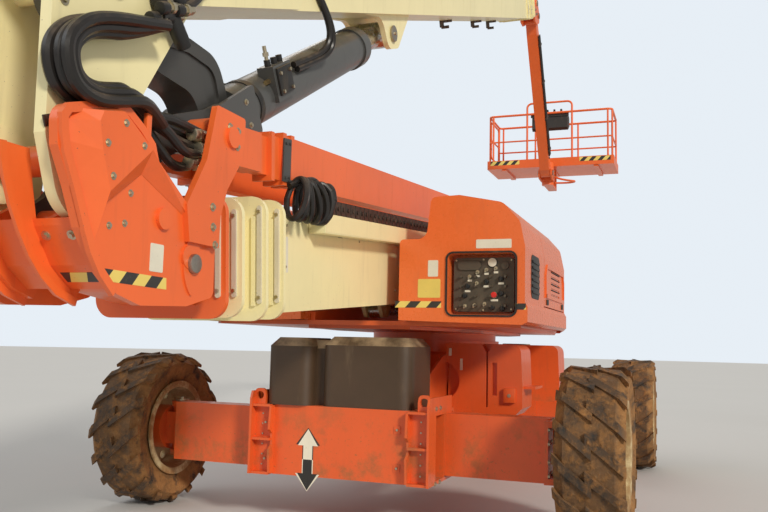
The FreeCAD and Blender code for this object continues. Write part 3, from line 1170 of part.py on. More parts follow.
def tip_pin():
    tip = pitched(S.main_x, S.main_z, S.main_angle).multVec(V(float(S.tip_u), 0, float(S.tip_v)))
    return tip.x, tip.z


def jib_pins():
    """Upper and lower pin of the jib, each (x, z)."""
    tip_x, tip_z = tip_pin()
    upper = (tip_x + S.jib_dx, tip_z + S.jib_dz)
    angle = math.radians(float(S.jib_angle))
    lower = (upper[0] + S.jib_long * math.cos(angle), upper[1] + S.jib_long * math.sin(angle))
    return upper, lower


def make_jib():
    """Level knuckle at the boom tip and the jib arm."""
    tip_x, tip_z = tip_pin()
    upper, lower = jib_pins()
    pieces = []
    for side, _ in SIDES:
        profile = [(tip_x - 80, tip_z + 80, 76), (tip_x + 60, tip_z + 86, 60), (upper[0] + 84, upper[1] + 60, 60),
                   (upper[0] + 84, upper[1] - 84, 60), (upper[0] - 120, upper[1] - 190, 30), (tip_x - 120, tip_z - 330, 50),
                   (tip_x - 190, tip_z - 250, 40)]
        wall = span_y(side, S.knuckle_in, S.knuckle_in + S.knuckle_plate)
        blade = plate("y", profile, wall)
        pieces.append(cut(blade, [rod("y", (tip_x, tip_z), 40 + S.fit, wall)]))
    pieces.append(rod("y", upper, 38, (-S.knuckle_in - S.knuckle_plate - 8, S.knuckle_in + S.knuckle_plate + 8)))
    pieces.append(rod("y", (tip_x + 80, tip_z - 262), 34, (-S.knuckle_in - 1, S.knuckle_in + 1)))
    node("level_knuckle", fuse(pieces))

    half_y, half_z = S.jib_w / 2, S.jib_h / 2
    place = pitched(upper[0], upper[1], S.jib_angle)
    arm = box((260, S.jib_long - 90), (-half_y, half_y), (-half_z, half_z))
    hollow = box((300, S.jib_long - 130), (-half_y + 8, half_y - 8), (-half_z + 8, half_z - 8))
    ends = []
    for start, radius in ((0, 72), (S.jib_long, 72)):
        ends.append(rod("y", (start, 0), radius, (-half_y, half_y)))
    ends.append(plate("y", [(0, -70), (262, -half_z), (262, half_z), (0, 70)], (-half_y, half_y)))
    ends.append(plate("y", [(S.jib_long, -70), (S.jib_long - 120, -half_z), (S.jib_long - 120, half_z), (S.jib_long, 70)],
                      (-half_y, half_y)))
    holes = [rod("y", (0, 0), 38 + S.fit, (-half_y - 1, half_y + 1)),
             rod("y", (S.jib_long, 0), 38 + S.fit, (-half_y - 1, half_y + 1))]
    node("jib_arm", cut(fuse([arm] + ends), [hollow] + holes), place)


def platform_frame():
    """Rotator axis, near side, floor top and middle of the platform."""
    lower = jib_pins()[1]
    axis_x = lower[0] + S.rotator_dx
    near = axis_x + S.floor_gap
    floor_z = lower[1] + S.floor_dz + S.floor_t
    return axis_x, near, floor_z


def make_platform():
    """Support and rotator, floor with toe boards, rails with the console arch, gate, console."""
    lower = jib_pins()[1]
    axis_x, near, floor_z = platform_frame()
    pieces = []
    for side, _ in SIDES:
        profile = [(lower[0] - 66, lower[1] + 66, 60), (axis_x, lower[1] + 84), (axis_x, lower[1] - 110),
                   (lower[0] - 30, lower[1] - 100, 60), (lower[0] - 80, lower[1] - 40, 50)]
        pieces.append(plate("y", profile, span_y(side, S.knuckle_in, S.knuckle_in + S.knuckle_plate)))
    pieces.append(rod("y", lower, 38, (-S.knuckle_in - S.knuckle_plate - 6, S.knuckle_in + S.knuckle_plate + 6)))
    pieces.append(rod("z", (axis_x, 0), S.rotator_r, (lower[1] - 120, lower[1] + 90)))
    pieces.append(box((lower[0] + 108, axis_x), (-S.knuckle_in - 1, S.knuckle_in + 1), (lower[1] - 105, lower[1] - 60)))
    node("platform_support", fuse(pieces))

    far = near + S.floor_d
    half = S.floor_w / 2
    bottom = floor_z - S.floor_t
    ledge = floor_z - 3
    slab = box((near, far), (-half, half), (bottom, ledge))
    tread = box((near + 56, far - 56), (-half + 56, half - 56), (bottom + 2, floor_z))
    tray = box((near, far), (-half, half), (bottom + 1, bottom + S.toe_h))
    inside = box((near + 10, far - 10), (-half + 10, half - 10), (ledge, bottom + S.toe_h + 1))
    rotor = rod("z", (axis_x, 0), S.rotator_r, (lower[1] + 90 + SEAT, bottom + 32))
    foot_low = rod("z", (axis_x, 0), S.rotator_r, (lower[1] - 170, lower[1] - 122))
    beams = [box((axis_x - 40, far - 60), (-60, 60), (bottom - 18, bottom + 2))]
    for y in (-half + 260, half - 340):
        beams.append(box((near + 20, far - 20), (y, y + 80), (bottom - 30, bottom + 2)))
    arm = box((axis_x, near + 420), (-70, 70), (lower[1] - 170, lower[1] - 130))
    rise = box((near + 340, near + 420), (-70, 70), (lower[1] - 170, bottom + 2))
    node("platform_floor", fuse([cut(fuse([slab, tray]), [inside]), tread, rotor, foot_low, arm, rise] + beams))

    r = S.rail_r
    inset = r + 12
    x0, x1 = near + inset, far - inset
    y0, y1 = -half + inset, half - inset
    bend = 70
    top = floor_z + S.rail_h - r
    mid = floor_z + S.rail_h * 0.55
    gate_x0 = (x0 + x1 - S.gate_w) / 2
    gate_x1 = gate_x0 + S.gate_w
    bars = [tube([(x0, y0, top), (x1, y0, top), (x1, y1, top), (x0, y1, top)], r, bend, True)]
    bars.append(tube([(gate_x0 - 56, y1, mid), (x0, y1, mid), (x0, y0, mid), (x1, y0, mid), (x1, y1, mid),
                      (gate_x1 + 56, y1, mid)], r - 5, bend))
    posts = [(x0, y0 + bend), (x0, y1 - bend), (x1, y0 + bend), (x1, y1 - bend), (x1, -S.arch_half), (x1, S.arch_half),
             (gate_x0 - 50, y0), (gate_x1 + 50, y0), (gate_x0 - 50, y1), (gate_x1 + 50, y1)]
    for x, y in posts:
        bars.append(rod("z", (x, y), r - 3, (ledge, top)))
    arch_top = top + S.arch_up
    a = S.arch_half
    bars.append(tube([(x0, -a, ledge), (x0, -a, arch_top), (x0, a, arch_top), (x0, a, ledge)], r - 1.5, 80))
    hinge_x = gate_x0 - 50 + r + 18
    hinge = rod("z", (hinge_x, y1), 8, (mid - 130, mid + 60))
    ears = [box((gate_x0 - 50, hinge_x + 10), (y1 - 8, y1 + 8), (z, z + 10)) for z in (mid - 130, mid + 52)]
    node("platform_rails", chain(bars + [hinge] + ears))

    low = floor_z + 200
    high = top - 60
    frame = tube([(gate_x0 + 22, y1, low), (gate_x0 + 22, y1, high), (gate_x1, y1, high), (gate_x1, y1, low)], r - 3, 50, True)
    bar = rod("x", (y1, (low + high) / 2), r - 5, (gate_x0 + 22, gate_x1))
    sleeve = rod("z", (hinge_x, y1), 8 + 7, (mid - 110, mid + 40))
    tongue = box((hinge_x, gate_x0 + 24), (y1 - 5, y1 + 5), (mid - 100, mid + 30))
    bore = rod("z", (hinge_x, y1), 8 + S.fit, (mid - 111, mid + 41))
    node("platform_gate", cut(fuse([frame, bar, sleeve, tongue]), [bore]))

    face = x0 + r + 14
    console = [(face, top - 260), (face + 60, top - 300, 20), (face + 250, top - 190, 30), (face + 230, top - 60, 20),
               (face + 40, top + 40, 30), (face, top + 20)]
    pieces = [plate("y", console, (-a + 80, a - 80))]
    for y in (-180, -60, 60, 180):
        pieces.append(rod("z", (face + 140, y), 14, (top - 60, top + 70)))
    pieces.append(box((x0 + r, face + 4), (-a + 60, a - 60), (top - 60, top + r - 4)))
    node("platform_console", fuse(pieces))


def make_hose_tray():
    """Hose tray and chain carrier along the tower's right upper edge, with its standing loop."""
    place = pitched(S.pivot_x, S.pivot_z, S.tower_slope)
    half_y, half_z = S.tower_w / 2, S.tower_h / 2
    start, end = -4300, -2560
    y_in, y_out = half_y + 1, half_y + 100
    floor = box((start, end), (-y_out, -y_in), (half_z - 30, half_z - 22))
    wall = box((start, end), (-y_out, -y_out + 8), (half_z - 30, half_z + 60))
    hangers = [box((x, x + 60), (-y_in - 2, -half_y), (half_z - 90, half_z - 10)) for x in (start + 60, end - 160)]
    back = [box((x, x + 60), (-y_in - 40, -y_in + 1), (half_z - 60, half_z - 22)) for x in (start + 60, end - 160)]
    links = []
    pitch = 74
    count = 22
    for index in range(count):
        x = start + 60 + index * pitch
        links.append(box((x, x + pitch - 14), (-y_out + 12, -y_in - 44), (half_z - 22, half_z + 74)))
    spine = box((start + 60, start + 60 + count * pitch), (-y_out + 18, -y_in - 50), (half_z - 10, half_z + 62))
    node("hose_carrier", fuse([floor, wall] + hangers + back + links + [spine]), place)


make_chassis()
group("axle_boxes", [make_axle_box(end) for end, _ in ENDS])
group("axle_covers", [make_cover(end) for end, _ in ENDS])
group("side_tanks", [make_tank(end, side) for end, _ in ENDS for side, _ in SIDES])
for end, end_name in ENDS:
    for side, side_name in SIDES:
        corner = "%s_%s" % (end_name, side_name)
        make_axle_beam(end, side, "axle_beam_" + corner)
        make_knuckle(end, side, "knuckle_" + corner)
        make_tyre(end, side, "tyre_" + corner)
        make_rim(end, side, "rim_" + corner)
group("hood_fronts", [make_hood_front(side) for side, _ in SIDES])
group("hood_tails", [make_hood_tail(side) for side, _ in SIDES])
for side, side_name in SIDES:
    make_hood_door(side, side_name)
make_control_panel()
make_turntable()
make_tower()
make_links()
make_hose_tray()
make_tower_cylinder()
make_yoke()
make_lift_linkage()
make_main_boom()
make_jib()
make_platform()
DOC.recompute()

for thing in DOC.Objects:
    if "Invalid" in thing.State or "Error" in thing.State:
        raise RuntimeError("%s (%s) did not build: %s" % (thing.Name, thing.Label, thing.State))
for piece in NODES:
    if piece.Shape.isNull() or not piece.Shape.isValid() or not piece.Shape.Solids:
        raise RuntimeError("%s is not a valid solid" % piece.Label)
os.makedirs("parts", exist_ok=True)
for piece in NODES:
    piece.Shape.exportStep("parts/%s.step" % piece.Label)
    print("%-26s %2d solids %8.1f litres" % (piece.Label, len(piece.Shape.Solids), piece.Shape.Volume / 1e6))
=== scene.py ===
"""Looks of an articulating boom lift: its finishes, small fittings, hoses and the studio round it.

Lengths are metres. +X runs along the chassis the way the booms point, +Y to its left, +Z up,
and the origin is on the ground under the swing axis.
"""
import json
import math

import bmesh
import bpy
from bpy.props import FloatProperty, FloatVectorProperty, IntProperty, PointerProperty
from mathutils import Matrix, Vector


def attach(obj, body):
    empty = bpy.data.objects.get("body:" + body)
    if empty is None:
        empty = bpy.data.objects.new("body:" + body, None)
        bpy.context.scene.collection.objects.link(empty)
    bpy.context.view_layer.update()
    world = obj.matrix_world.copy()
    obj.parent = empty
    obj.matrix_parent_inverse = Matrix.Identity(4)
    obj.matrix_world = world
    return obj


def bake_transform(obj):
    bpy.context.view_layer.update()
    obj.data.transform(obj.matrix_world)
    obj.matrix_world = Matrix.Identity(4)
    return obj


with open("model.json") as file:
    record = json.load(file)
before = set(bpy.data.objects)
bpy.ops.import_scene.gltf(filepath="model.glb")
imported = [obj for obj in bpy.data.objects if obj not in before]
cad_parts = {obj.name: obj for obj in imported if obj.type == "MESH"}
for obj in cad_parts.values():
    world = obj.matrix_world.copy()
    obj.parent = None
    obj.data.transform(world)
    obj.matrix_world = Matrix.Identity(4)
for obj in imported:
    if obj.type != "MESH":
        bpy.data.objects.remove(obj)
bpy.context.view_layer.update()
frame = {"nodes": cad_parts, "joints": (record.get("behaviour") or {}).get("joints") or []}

bl_info = {
    "name": "Boom lift looks",
    "version": (1, 0, 0),
    "blender": (4, 5, 0),
    "location": "View3D > Sidebar > Boom Lift",
    "description": "Dresses the frame of an articulating boom lift",
    "category": "Object",
}

JOINT = {joint["name"]: Vector(joint.get("pos_m", (0, 0, 0))) for joint in frame["joints"]}
CORNERS = [(end, side) for end in ("front", "rear") for side in ("right", "left")]
WAYS = {"front": -1, "rear": 1, "right": -1, "left": 1}
SIDES = (("right", -1), ("left", 1))

# the camera of the photograph: place, angles in degrees, focal length and sensor in millimetres
CAMERA_SPOT = (-7.454, -2.247, 1.263)
CAMERA_YAW = 20.388
CAMERA_PITCH = 6.031
CAMERA_ROLL = 1.327
CAMERA_LENS = 38.56
CAMERA_SENSOR = 36.0

# slopes of the booms at rest, in degrees
BOOM_RISE = 21
TOWER_RISE = 4.4
# the lift cylinder's eye on the main boom: along the boom from its pivot, and above it
LIFT_EYE = (3.75, 0.40)


class BoomLiftColours(bpy.types.PropertyGroup):
    """Paint colours and dirt"""

    orange: FloatVectorProperty(
        name="Orange", description="Chassis, hoods, yoke, jib and platform",
        subtype="COLOR", size=3, min=0, max=1, default=(0.86, 0.145, 0.028))
    cream: FloatVectorProperty(
        name="Cream", description="Tower and main boom",
        subtype="COLOR", size=3, min=0, max=1, default=(0.91, 0.82, 0.46))
    grey: FloatVectorProperty(
        name="Dark grey", description="Lift linkage and carriers",
        subtype="COLOR", size=3, min=0, max=1, default=(0.052, 0.051, 0.048))
    mud: FloatVectorProperty(
        name="Mud", description="Dried mud on tyres, axles and chassis",
        subtype="COLOR", size=3, min=0, max=1, default=(0.27, 0.128, 0.040))
    dust: FloatVectorProperty(
        name="Dust", description="Dust on faces that look up",
        subtype="COLOR", size=3, min=0, max=1, default=(0.46, 0.33, 0.19))
    dirt: FloatProperty(
        name="Dirt", description="How much mud and dust lies on the machine",
        subtype="FACTOR", min=0, max=2, default=1.0)


class BoomLiftSizes(bpy.types.PropertyGroup):
    """Sizes of the small fittings"""

    bolt: FloatProperty(
        name="Bolt head", description="Bolt head across its corners",
        unit="LENGTH", min=0.005, max=0.1, default=0.026)
    stripe: FloatProperty(
        name="Hazard stripe", description="Width of one hazard stripe, along the band",
        unit="LENGTH", min=0.01, max=0.3, default=0.075)
    film: FloatProperty(
        name="Film", description="Thickness of a stuck-on band or plate",
        unit="LENGTH", min=0.0002, max=0.01, default=0.0015)
    wheel_nuts: IntProperty(
        name="Wheel nuts", description="Nuts on each wheel", min=4, max=16, default=9)


class Shade:
    """A value or colour in a material; Python's operators add Math nodes."""

    def __init__(self, finish, socket):
        self.finish = finish
        self.socket = socket

    def maths(self, operation, *values):
        return self.finish.node("ShaderNodeMath", {"operation": operation}, list(values))

    def __add__(self, other):
        return self.maths("ADD", self, other)

    __radd__ = __add__

    def __sub__(self, other):
        return self.maths("SUBTRACT", self, other)

    def __rsub__(self, other):
        return self.maths("SUBTRACT", other, self)

    def __mul__(self, other):
        return self.maths("MULTIPLY", self, other)

    __rmul__ = __mul__

    def __truediv__(self, other):
        return self.maths("DIVIDE", self, other)

    def __rtruediv__(self, other):
        return self.maths("DIVIDE", other, self)

    def __pow__(self, other):
        return self.maths("POWER", self, other)

    def __abs__(self):
        return self.maths("ABSOLUTE", self)

    def __mod__(self, other):
        return self.maths("FLOORED_MODULO", self, other)

    def at_least(self, other):
        return self.maths("MAXIMUM", self, other)

    def at_most(self, other):
        return self.maths("MINIMUM", self, other)

    def rise(self, low, high):
        """0 below low, 1 above high, smooth between; low above high turns it over."""
        return self.finish.node(
            "ShaderNodeMapRange", {"interpolation_type": "SMOOTHSTEP", "clamp": True},
            {"Value": self, "From Min": low, "From Max": high, "To Min": 0.0, "To Max": 1.0})


class Finish:
    """One material: a principled shader and the nodes that feed it."""

    def __init__(self, name, **constants):
        self.material = bpy.data.materials.new(name)
        self.material.use_nodes = True
        self.tree = self.material.node_tree
        self.shader = self.tree.nodes["Principled BSDF"]
        for key, value in constants.items():
            self.shader.inputs[key.replace("_", " ")].default_value = value
        self.where = self.node("ShaderNodeTexCoord", output="Object")

    def node(self, kind, settings=None, inputs=None, output=0):
        """Adds a node: its settings first, then the values or links of its sockets."""
        made = self.tree.nodes.new(kind)
        for key, value in (settings or {}).items():
            setattr(made, key, value)
        pairs = enumerate(inputs) if isinstance(inputs, list) else (inputs or {}).items()
        for key, value in pairs:
            self.feed(made.inputs[key], value)
        return Shade(self, made.outputs[output])

    def feed(self, socket, value):
        if isinstance(value, Shade):
            self.tree.links.new(value.socket, socket)
        elif hasattr(value, "__len__") and len(value) == 3 and socket.type == "RGBA":
            socket.default_value = (*value, 1.0)
        else:
            socket.default_value = value

    def noise(self, scale, detail=4.0, rough=0.6, stretch=(1, 1, 1)):
        place = self.where
        if tuple(stretch) != (1, 1, 1):
            place = self.node("ShaderNodeMapping", {"vector_type": "POINT"},
                              {"Vector": place, "Scale": stretch})
        return self.node("ShaderNodeTexNoise", {"noise_dimensions": "3D"},
                         {"Vector": place, "Scale": scale, "Detail": detail, "Roughness": rough})

    def cells(self, scale):
        return self.node("ShaderNodeTexVoronoi", {"feature": "F1"},
                         {"Vector": self.where, "Scale": scale})

    def axes(self):
        split = self.node("ShaderNodeSeparateXYZ", None, {"Vector": self.where})
        outputs = split.socket.node.outputs
        return [Shade(self, outputs[index]) for index in range(3)]

    def upward(self):
        """How much a face looks up."""
        normal = self.node("ShaderNodeNewGeometry", output="Normal")
        split = self.node("ShaderNodeSeparateXYZ", None, {"Vector": normal})
        return Shade(self, split.socket.node.outputs[2])

    def mix(self, factor, first, second):
        made = self.node("ShaderNodeMix", {"data_type": "RGBA", "clamp_factor": True}, output=2)
        mixer = made.socket.node
        self.feed(mixer.inputs[0], factor)
        self.feed(mixer.inputs[6], first)
        self.feed(mixer.inputs[7], second)
        return made

    def tint(self, colour, low, high, amount):
        """A colour between its low and high multiples."""
        return self.mix(amount, [c * low for c in colour], [min(1.0, c * high) for c in colour])

    def bump(self, height, strength, distance=0.002):
        return self.node("ShaderNodeBump", None,
                         {"Height": height, "Strength": strength, "Distance": distance})

    def done(self, colour, roughness=None, bump=None, metallic=None, coat=None):
        self.feed(self.shader.inputs["Base Color"], colour)
        for key, value in (("Roughness", roughness), ("Metallic", metallic),
                           ("Coat Weight", coat), ("Normal", bump)):
            if value is not None:
                self.feed(self.shader.inputs[key], value)
        return self.material


def colours():
    return bpy.context.scene.boom_lift_colours


def sizes():
    return bpy.context.scene.boom_lift_sizes


def tuple3(value):
    return (value[0], value[1], value[2])


def paint(name, colour, mud=0.0, mud_top=1.0, dust=0.35, fade=0.10, gloss=0.34):
    """Sprayed enamel: soft fading, fine specks, chips, streaks, dust on top and mud low down."""
    f = Finish(name, Coat_Roughness=0.12)
    dirt = colours().dirt
    soft = f.noise(1.1, 3.0)
    fine = f.noise(22.0, 5.0)
    streak = f.noise(6.0, 4.0, 0.6, (3.0, 3.0, 0.35))
    base = f.tint(colour, 1.0 - fade, 1.0 + fade, soft.rise(0.3, 0.7) * 0.7 + fine * 0.3)
    streaks = streak.rise(0.52, 0.80) * 0.28
    base = f.mix(streaks, base, [c * 0.62 + 0.02 for c in colour])
    chips = f.noise(95.0, 2.0).rise(0.735, 0.765)
    base = f.mix(chips * 0.8, base, (0.10, 0.07, 0.055))
    settled = f.upward().rise(0.35, 0.95) * f.noise(9.0, 6.0).rise(0.30, 0.75)
    dusty = settled * (dust * dirt)
    base = f.mix(dusty, base, tuple3(colours().dust))
    rough = fine * 0.16 + (gloss - 0.06) + streaks * 0.4 + dusty * 0.4
    height = fine * 0.05 + f.noise(240.0, 2.0) * 0.10
    if mud:
        z = f.axes()[2]
        low = z.rise(mud_top, mud_top * 0.30)
        patch = f.noise(3.2, 8.0, 0.68).rise(0.66 - 0.22 * mud, 0.78 - 0.12 * mud)
        splash = f.noise(34.0, 4.0, 0.7).rise(0.60, 0.68) * 0.7
        cover = (patch.at_least(splash) * low * (mud * dirt)).at_most(1.0)
        base = f.mix(cover, base, f.tint(tuple3(colours().mud), 0.75, 1.25, f.noise(11.0)))
        rough = rough + cover * 0.45
        height = height + cover * (f.noise(55.0, 6.0) * 0.8 + 0.4)
    return f.done(base, rough.at_most(0.95), f.bump(height, 0.35), coat=0.25)


def plastic(name, colour, dust=0.8):
    """Moulded sheet with a leathery grain, sun-bleached and dusty on top."""
    f = Finish(name)
    grain = f.cells(260.0)
    soft = f.noise(2.4, 6.0)
    base = f.tint(colour, 0.8, 1.5, soft)
    settled = f.upward().rise(0.15, 0.95) * f.noise(5.0, 8.0, 0.65).rise(0.28, 0.70)
    wipe = f.noise(7.0, 5.0, 0.6, (1.0, 1.0, 0.25)).rise(0.55, 0.80) * 0.30
    cover = (settled * dust + wipe * 0.6) * colours().dirt
    base = f.mix(cover, base, tuple3(colours().dust))
    return f.done(base, grain * 0.10 + 0.42 + cover * 0.4, f.bump(grain + soft * 0.6, 0.22))


def wheel_radius(f):
    """How far a point of any wheel lies from that wheel's axis."""
    wheel = JOINT["spin_front_left"]
    x, _, z = f.axes()
    across = abs(x) - abs(wheel.x)
    up = z - wheel.z
    return (across * across + up * up) ** 0.5


def rubber():
    """Worn tread rubber under dried ochre mud, cleanest at the tips of the lugs."""
    f = Finish("tyre_rubber")
    tread = wheel_radius(f).rise(0.515, 0.572)
    shade = f.noise(5.0, 8.0, 0.65)
    crumbs = f.noise(46.0, 7.0, 0.75)
    grit = f.noise(160.0, 3.0, 0.7)
    mud_colour = f.tint(tuple3(colours().mud), 0.62, 1.5, shade.rise(0.25, 0.75))
    mud_colour = f.mix(crumbs.rise(0.52, 0.75) * 0.6, mud_colour, (0.44, 0.29, 0.15))
    mud_colour = f.mix(crumbs.rise(0.46, 0.30) * 0.7, mud_colour, (0.085, 0.045, 0.020))
    worn = tread * f.noise(13.0, 6.0, 0.7).rise(0.36, 0.58)
    caked = f.noise(7.5, 7.0, 0.7).rise(0.30, 0.52) * (1.0 - worn * 0.85)
    base = f.mix(caked, (0.030, 0.024, 0.019), mud_colour)
    rough = caked * 0.25 + 0.62
    height = caked * (crumbs * 1.2 + grit * 0.4 + 0.5)
    return f.done(base, rough, f.bump(height, 0.9, 0.006))


def wheel_paint():
    """Cream wheel enamel under mud that gathers in the well and round the lips."""
    f = Finish("wheel_enamel")
    shade = f.noise(4.0, 8.0, 0.7)
    lip = wheel_radius(f).rise(0.255, 0.345)
    cover = (f.noise(6.5, 8.0, 0.7).rise(0.34, 0.58) * (lip * 0.55 + 0.35)) * colours().dirt
    base = f.tint((0.72, 0.60, 0.34), 0.85, 1.08, shade)
    base = f.mix(cover, base, f.tint(tuple3(colours().mud), 0.8, 1.5, f.noise(16.0)))
    rust = f.noise(42.0, 4.0, 0.7).rise(0.66, 0.72) * 0.7
    base = f.mix(rust, base, (0.17, 0.055, 0.018))
    height = cover * f.noise(60.0, 5.0) + shade * 0.2
    return f.done(base, cover * 0.4 + 0.45, f.bump(height, 0.6, 0.004))


def metal(name, colour, roughness, stain=(0.12, 0.08, 0.05), stained=0.35, grain=(1, 1, 1)):
    """Bare or plated metal with brushed grain and stains."""
    f = Finish(name)
    brushed = f.noise(55.0, 3.0, 0.6, grain)
    spots = f.noise(18.0, 6.0, 0.7).rise(0.50, 0.74)
    base = f.tint(colour, 0.85, 1.1, brushed)
    base = f.mix(spots * stained, base, stain)
    return f.done(base, brushed * 0.15 + roughness + spots * 0.3,
                  f.bump(brushed * 0.3 + spots * 0.3, 0.15), metallic=1.0 - spots * stained)


def hose_rubber():
    """Black hose cover with moulded lines and grey dust."""
    f = Finish("hose_rubber")
    fine = f.noise(120.0, 3.0)
    dusty = f.noise(10.0, 6.0).rise(0.40, 0.75) * f.upward().rise(-0.2, 1.0)
    base = f.mix(dusty * 0.45, (0.014, 0.012, 0.011), (0.30, 0.21, 0.13))
    return f.done(base, fine * 0.12 + 0.27 + dusty * 0.4, f.bump(fine, 0.15))


def hazard(name, along, tilt=1.0):
    """Yellow and black diagonal bands along a direction, a little scuffed."""
    f = Finish(name)
    x, y, z = f.axes()
    run = x * along[0] + y * along[1] + z * along[2] + z * tilt
    band = (run / (2 * sizes().stripe)) % 1.0
    dark = abs(band - 0.5).rise(0.245, 0.255)
    scuff = f.noise(30.0, 6.0, 0.7).rise(0.60, 0.72)
    pale = f.tint((0.86, 0.66, 0.16), 0.9, 1.08, f.noise(8.0))
    base = f.mix(dark, pale, (0.035, 0.034, 0.032))
    base = f.mix(scuff * 0.35, base, tuple3(colours().dust))
    return f.done(base, scuff * 0.2 + 0.38, f.bump(scuff, 0.1))


def printed(name, colour):
    """Blank stuck-on plate, a little yellowed and scuffed at random."""
    f = Finish(name)
    soft = f.noise(9.0, 5.0)
    scuff = f.noise(48.0, 5.0, 0.7).rise(0.60, 0.74)
    base = f.tint(colour, 0.86, 1.06, soft)
    base = f.mix(scuff * 0.4, base, (0.33, 0.26, 0.18))
    return f.done(base, soft * 0.2 + 0.36, f.bump(scuff, 0.08))


def make_materials():
    """Every finish of the machine, by name."""
    c = colours()
    orange = tuple3(c.orange)
    cream = tuple3(c.cream)
    grey = tuple3(c.grey)
    warm = [orange[0] * 0.97, orange[1] * 1.12, orange[2] * 1.25]
    # the chassis, axles, tanks and knuckles get a darker copy of the orange as painted shade; the mud
    # laid on it is real dirt
    low = [orange[0] * 0.90, orange[1] * 0.80, orange[2] * 0.80]
    return {
        "orange": paint("orange_enamel", orange),
        "orange_low_shaded": paint("orange_enamel_low_shaded", low, mud=0.75, mud_top=1.15),
        "orange_hood": paint("orange_hood_gel", warm, fade=0.07, gloss=0.26),
        "cream": paint("cream_enamel", cream, fade=0.06, dust=0.25),
        "grey": paint("grey_enamel", grey, fade=0.25, dust=0.22, gloss=0.40),
        "barrel": paint("barrel_enamel", (0.072, 0.074, 0.072), fade=0.12, dust=0.25, gloss=0.30),
        "weight": paint("weight_enamel", [v * 0.92 for v in orange], mud=0.3, mud_top=2.0),
        "engine": metal("engine_casting", (0.10, 0.10, 0.11), 0.5, stained=0.6),
        "cover": plastic("cover_moulding", (0.062, 0.036, 0.019), dust=1.0),
        "panel": plastic("panel_face", (0.070, 0.055, 0.038), dust=0.3),
        "box": plastic("console_box", (0.030, 0.028, 0.026), dust=0.5),
        "knob": plastic("knob_moulding", (0.012, 0.012, 0.012), dust=0.3),
        "wear_pad": plastic("wear_pad", (0.60, 0.55, 0.42), dust=0.3),
        "rubber": rubber(),
        "wheel": wheel_paint(),
        "hose": hose_rubber(),
        "steel": metal("rod_plating", (0.62, 0.62, 0.62), 0.14, stained=0.10),
        "bare": metal("pin_steel", (0.42, 0.38, 0.33), 0.34, stained=0.5),
        "zinc": metal("zinc_plating", (0.60, 0.54, 0.40), 0.32, stained=0.35),
        "brass": metal("fitting_brass", (0.70, 0.52, 0.26), 0.26, stained=0.25),
        "chain": metal("carrier_steel", (0.12, 0.10, 0.085), 0.42, (0.20, 0.12, 0.06), 0.55),
        "plate": printed("blank_plate", (0.80, 0.76, 0.62)),
        "plate_yellow": printed("blank_plate_yellow", (0.82, 0.62, 0.14)),
        "ink": printed("arrow_ink", (0.030, 0.028, 0.026)),
        "pale_ink": printed("arrow_pale", (0.88, 0.82, 0.66)),
        "band_x": hazard("hazard_band_x", (1, 0, 0), -0.9),
        "band_y": hazard("hazard_band_y", (0, 1, 0), 0.9),
        "red": plastic("red_button", (0.60, 0.02, 0.015), dust=0.1),
    }


FINISH = {}

# node, or the start of its name, and its finish
NODE_FINISHES = (
    # the chassis, axle, tank and knuckle parts take the orange darkened as painted shade
    ("chassis_frame", "orange_low_shaded"), ("axle_boxes", "orange_low_shaded"), ("axle_covers", "cover"),
    ("side_tanks", "orange_low_shaded"), ("axle_beam", "orange_low_shaded"), ("knuckle", "orange_low_shaded"),
    ("tyre", "rubber"), ("rim", "wheel"), ("hood", "orange_hood"), ("control_panel", "panel"),
    ("turntable_deck", "orange"), ("boom_supports", "orange"), ("boom_pins", "bare"),
    ("counterweight", "weight"), ("engine_block", "engine"), ("tower_base", "cream"),
    ("tower_mid", "cream"), ("tower_fly", "orange"), ("upper_link", "orange"),
    ("hose_carrier", "chain"), ("tower_lift_barrel", "barrel"), ("tower_lift_rod", "steel"),
    ("yoke", "orange"), ("lift_link", "grey"), ("lift_gooseneck", "grey"),
    ("lift_barrel", "barrel"), ("lift_rod", "steel"), ("lift_lug", "cream"), ("main", "cream"),
    ("level_knuckle", "orange"), ("jib_arm", "orange"), ("platform_console", "box"),
    ("platform", "orange"),
)


def node_finish(node):
    for start, finish in NODE_FINISHES:
        if node.startswith(start):
            return finish
    raise ValueError("no finish for " + node)


def facing(out, spot, up=(0, 0, 1)):
    """A frame on a surface: x to the right and y up as seen from outside, z outwards."""
    out = Vector(out).normalized()
    right = Vector(up).cross(out).normalized()
    place = Matrix((right, out.cross(right), out)).transposed().to_4x4()
    place.translation = Vector(spot)
    return place


def meshes(count):
    return [bmesh.new() for _ in range(count)]


def edges_of(verts):
    """Each edge at these corners, once each and in a set order."""
    return list(dict.fromkeys(edge for vert in verts for edge in vert.link_edges))


def soften(bm, edges, width):
    """Rounds some edges off."""
    bmesh.ops.bevel(bm, geom=edges, offset=width, offset_type="OFFSET", segments=2,
                    profile=0.5, affect="EDGES", material=-1, clamp_overlap=True)


def block(bm, place, x, y, z, edge=0.0):
    """A block on a frame, each axis given as (low, high), with softened edges."""
    spans = (x, y, z)
    middle = Vector([(low + high) / 2 for low, high in spans])
    scale = Matrix.Diagonal([high - low for low, high in spans] + [1.0])
    made = bmesh.ops.create_cube(bm, size=1.0, matrix=place @ Matrix.Translation(middle) @ scale)
    if edge:
        soften(bm, edges_of(made["verts"]), edge)


def drum(bm, place, radius, low, high, segments=24, end_radius=None, edge=0.0):
    """A closed cylinder or cone along a frame's z."""
    middle = Matrix.Translation((0, 0, (low + high) / 2))
    made = bmesh.ops.create_cone(
        bm, cap_ends=True, cap_tris=False, segments=segments, radius1=radius,
        radius2=radius if end_radius is None else end_radius, depth=high - low,
        matrix=place @ middle)
    if edge:
        soften(bm, [rim for rim in edges_of(made["verts"])
                    if any(len(face.verts) > 4 for face in rim.link_faces)], edge)


def at(place, x=0.0, y=0.0, z=0.0):
    return place @ Matrix.Translation((x, y, z))


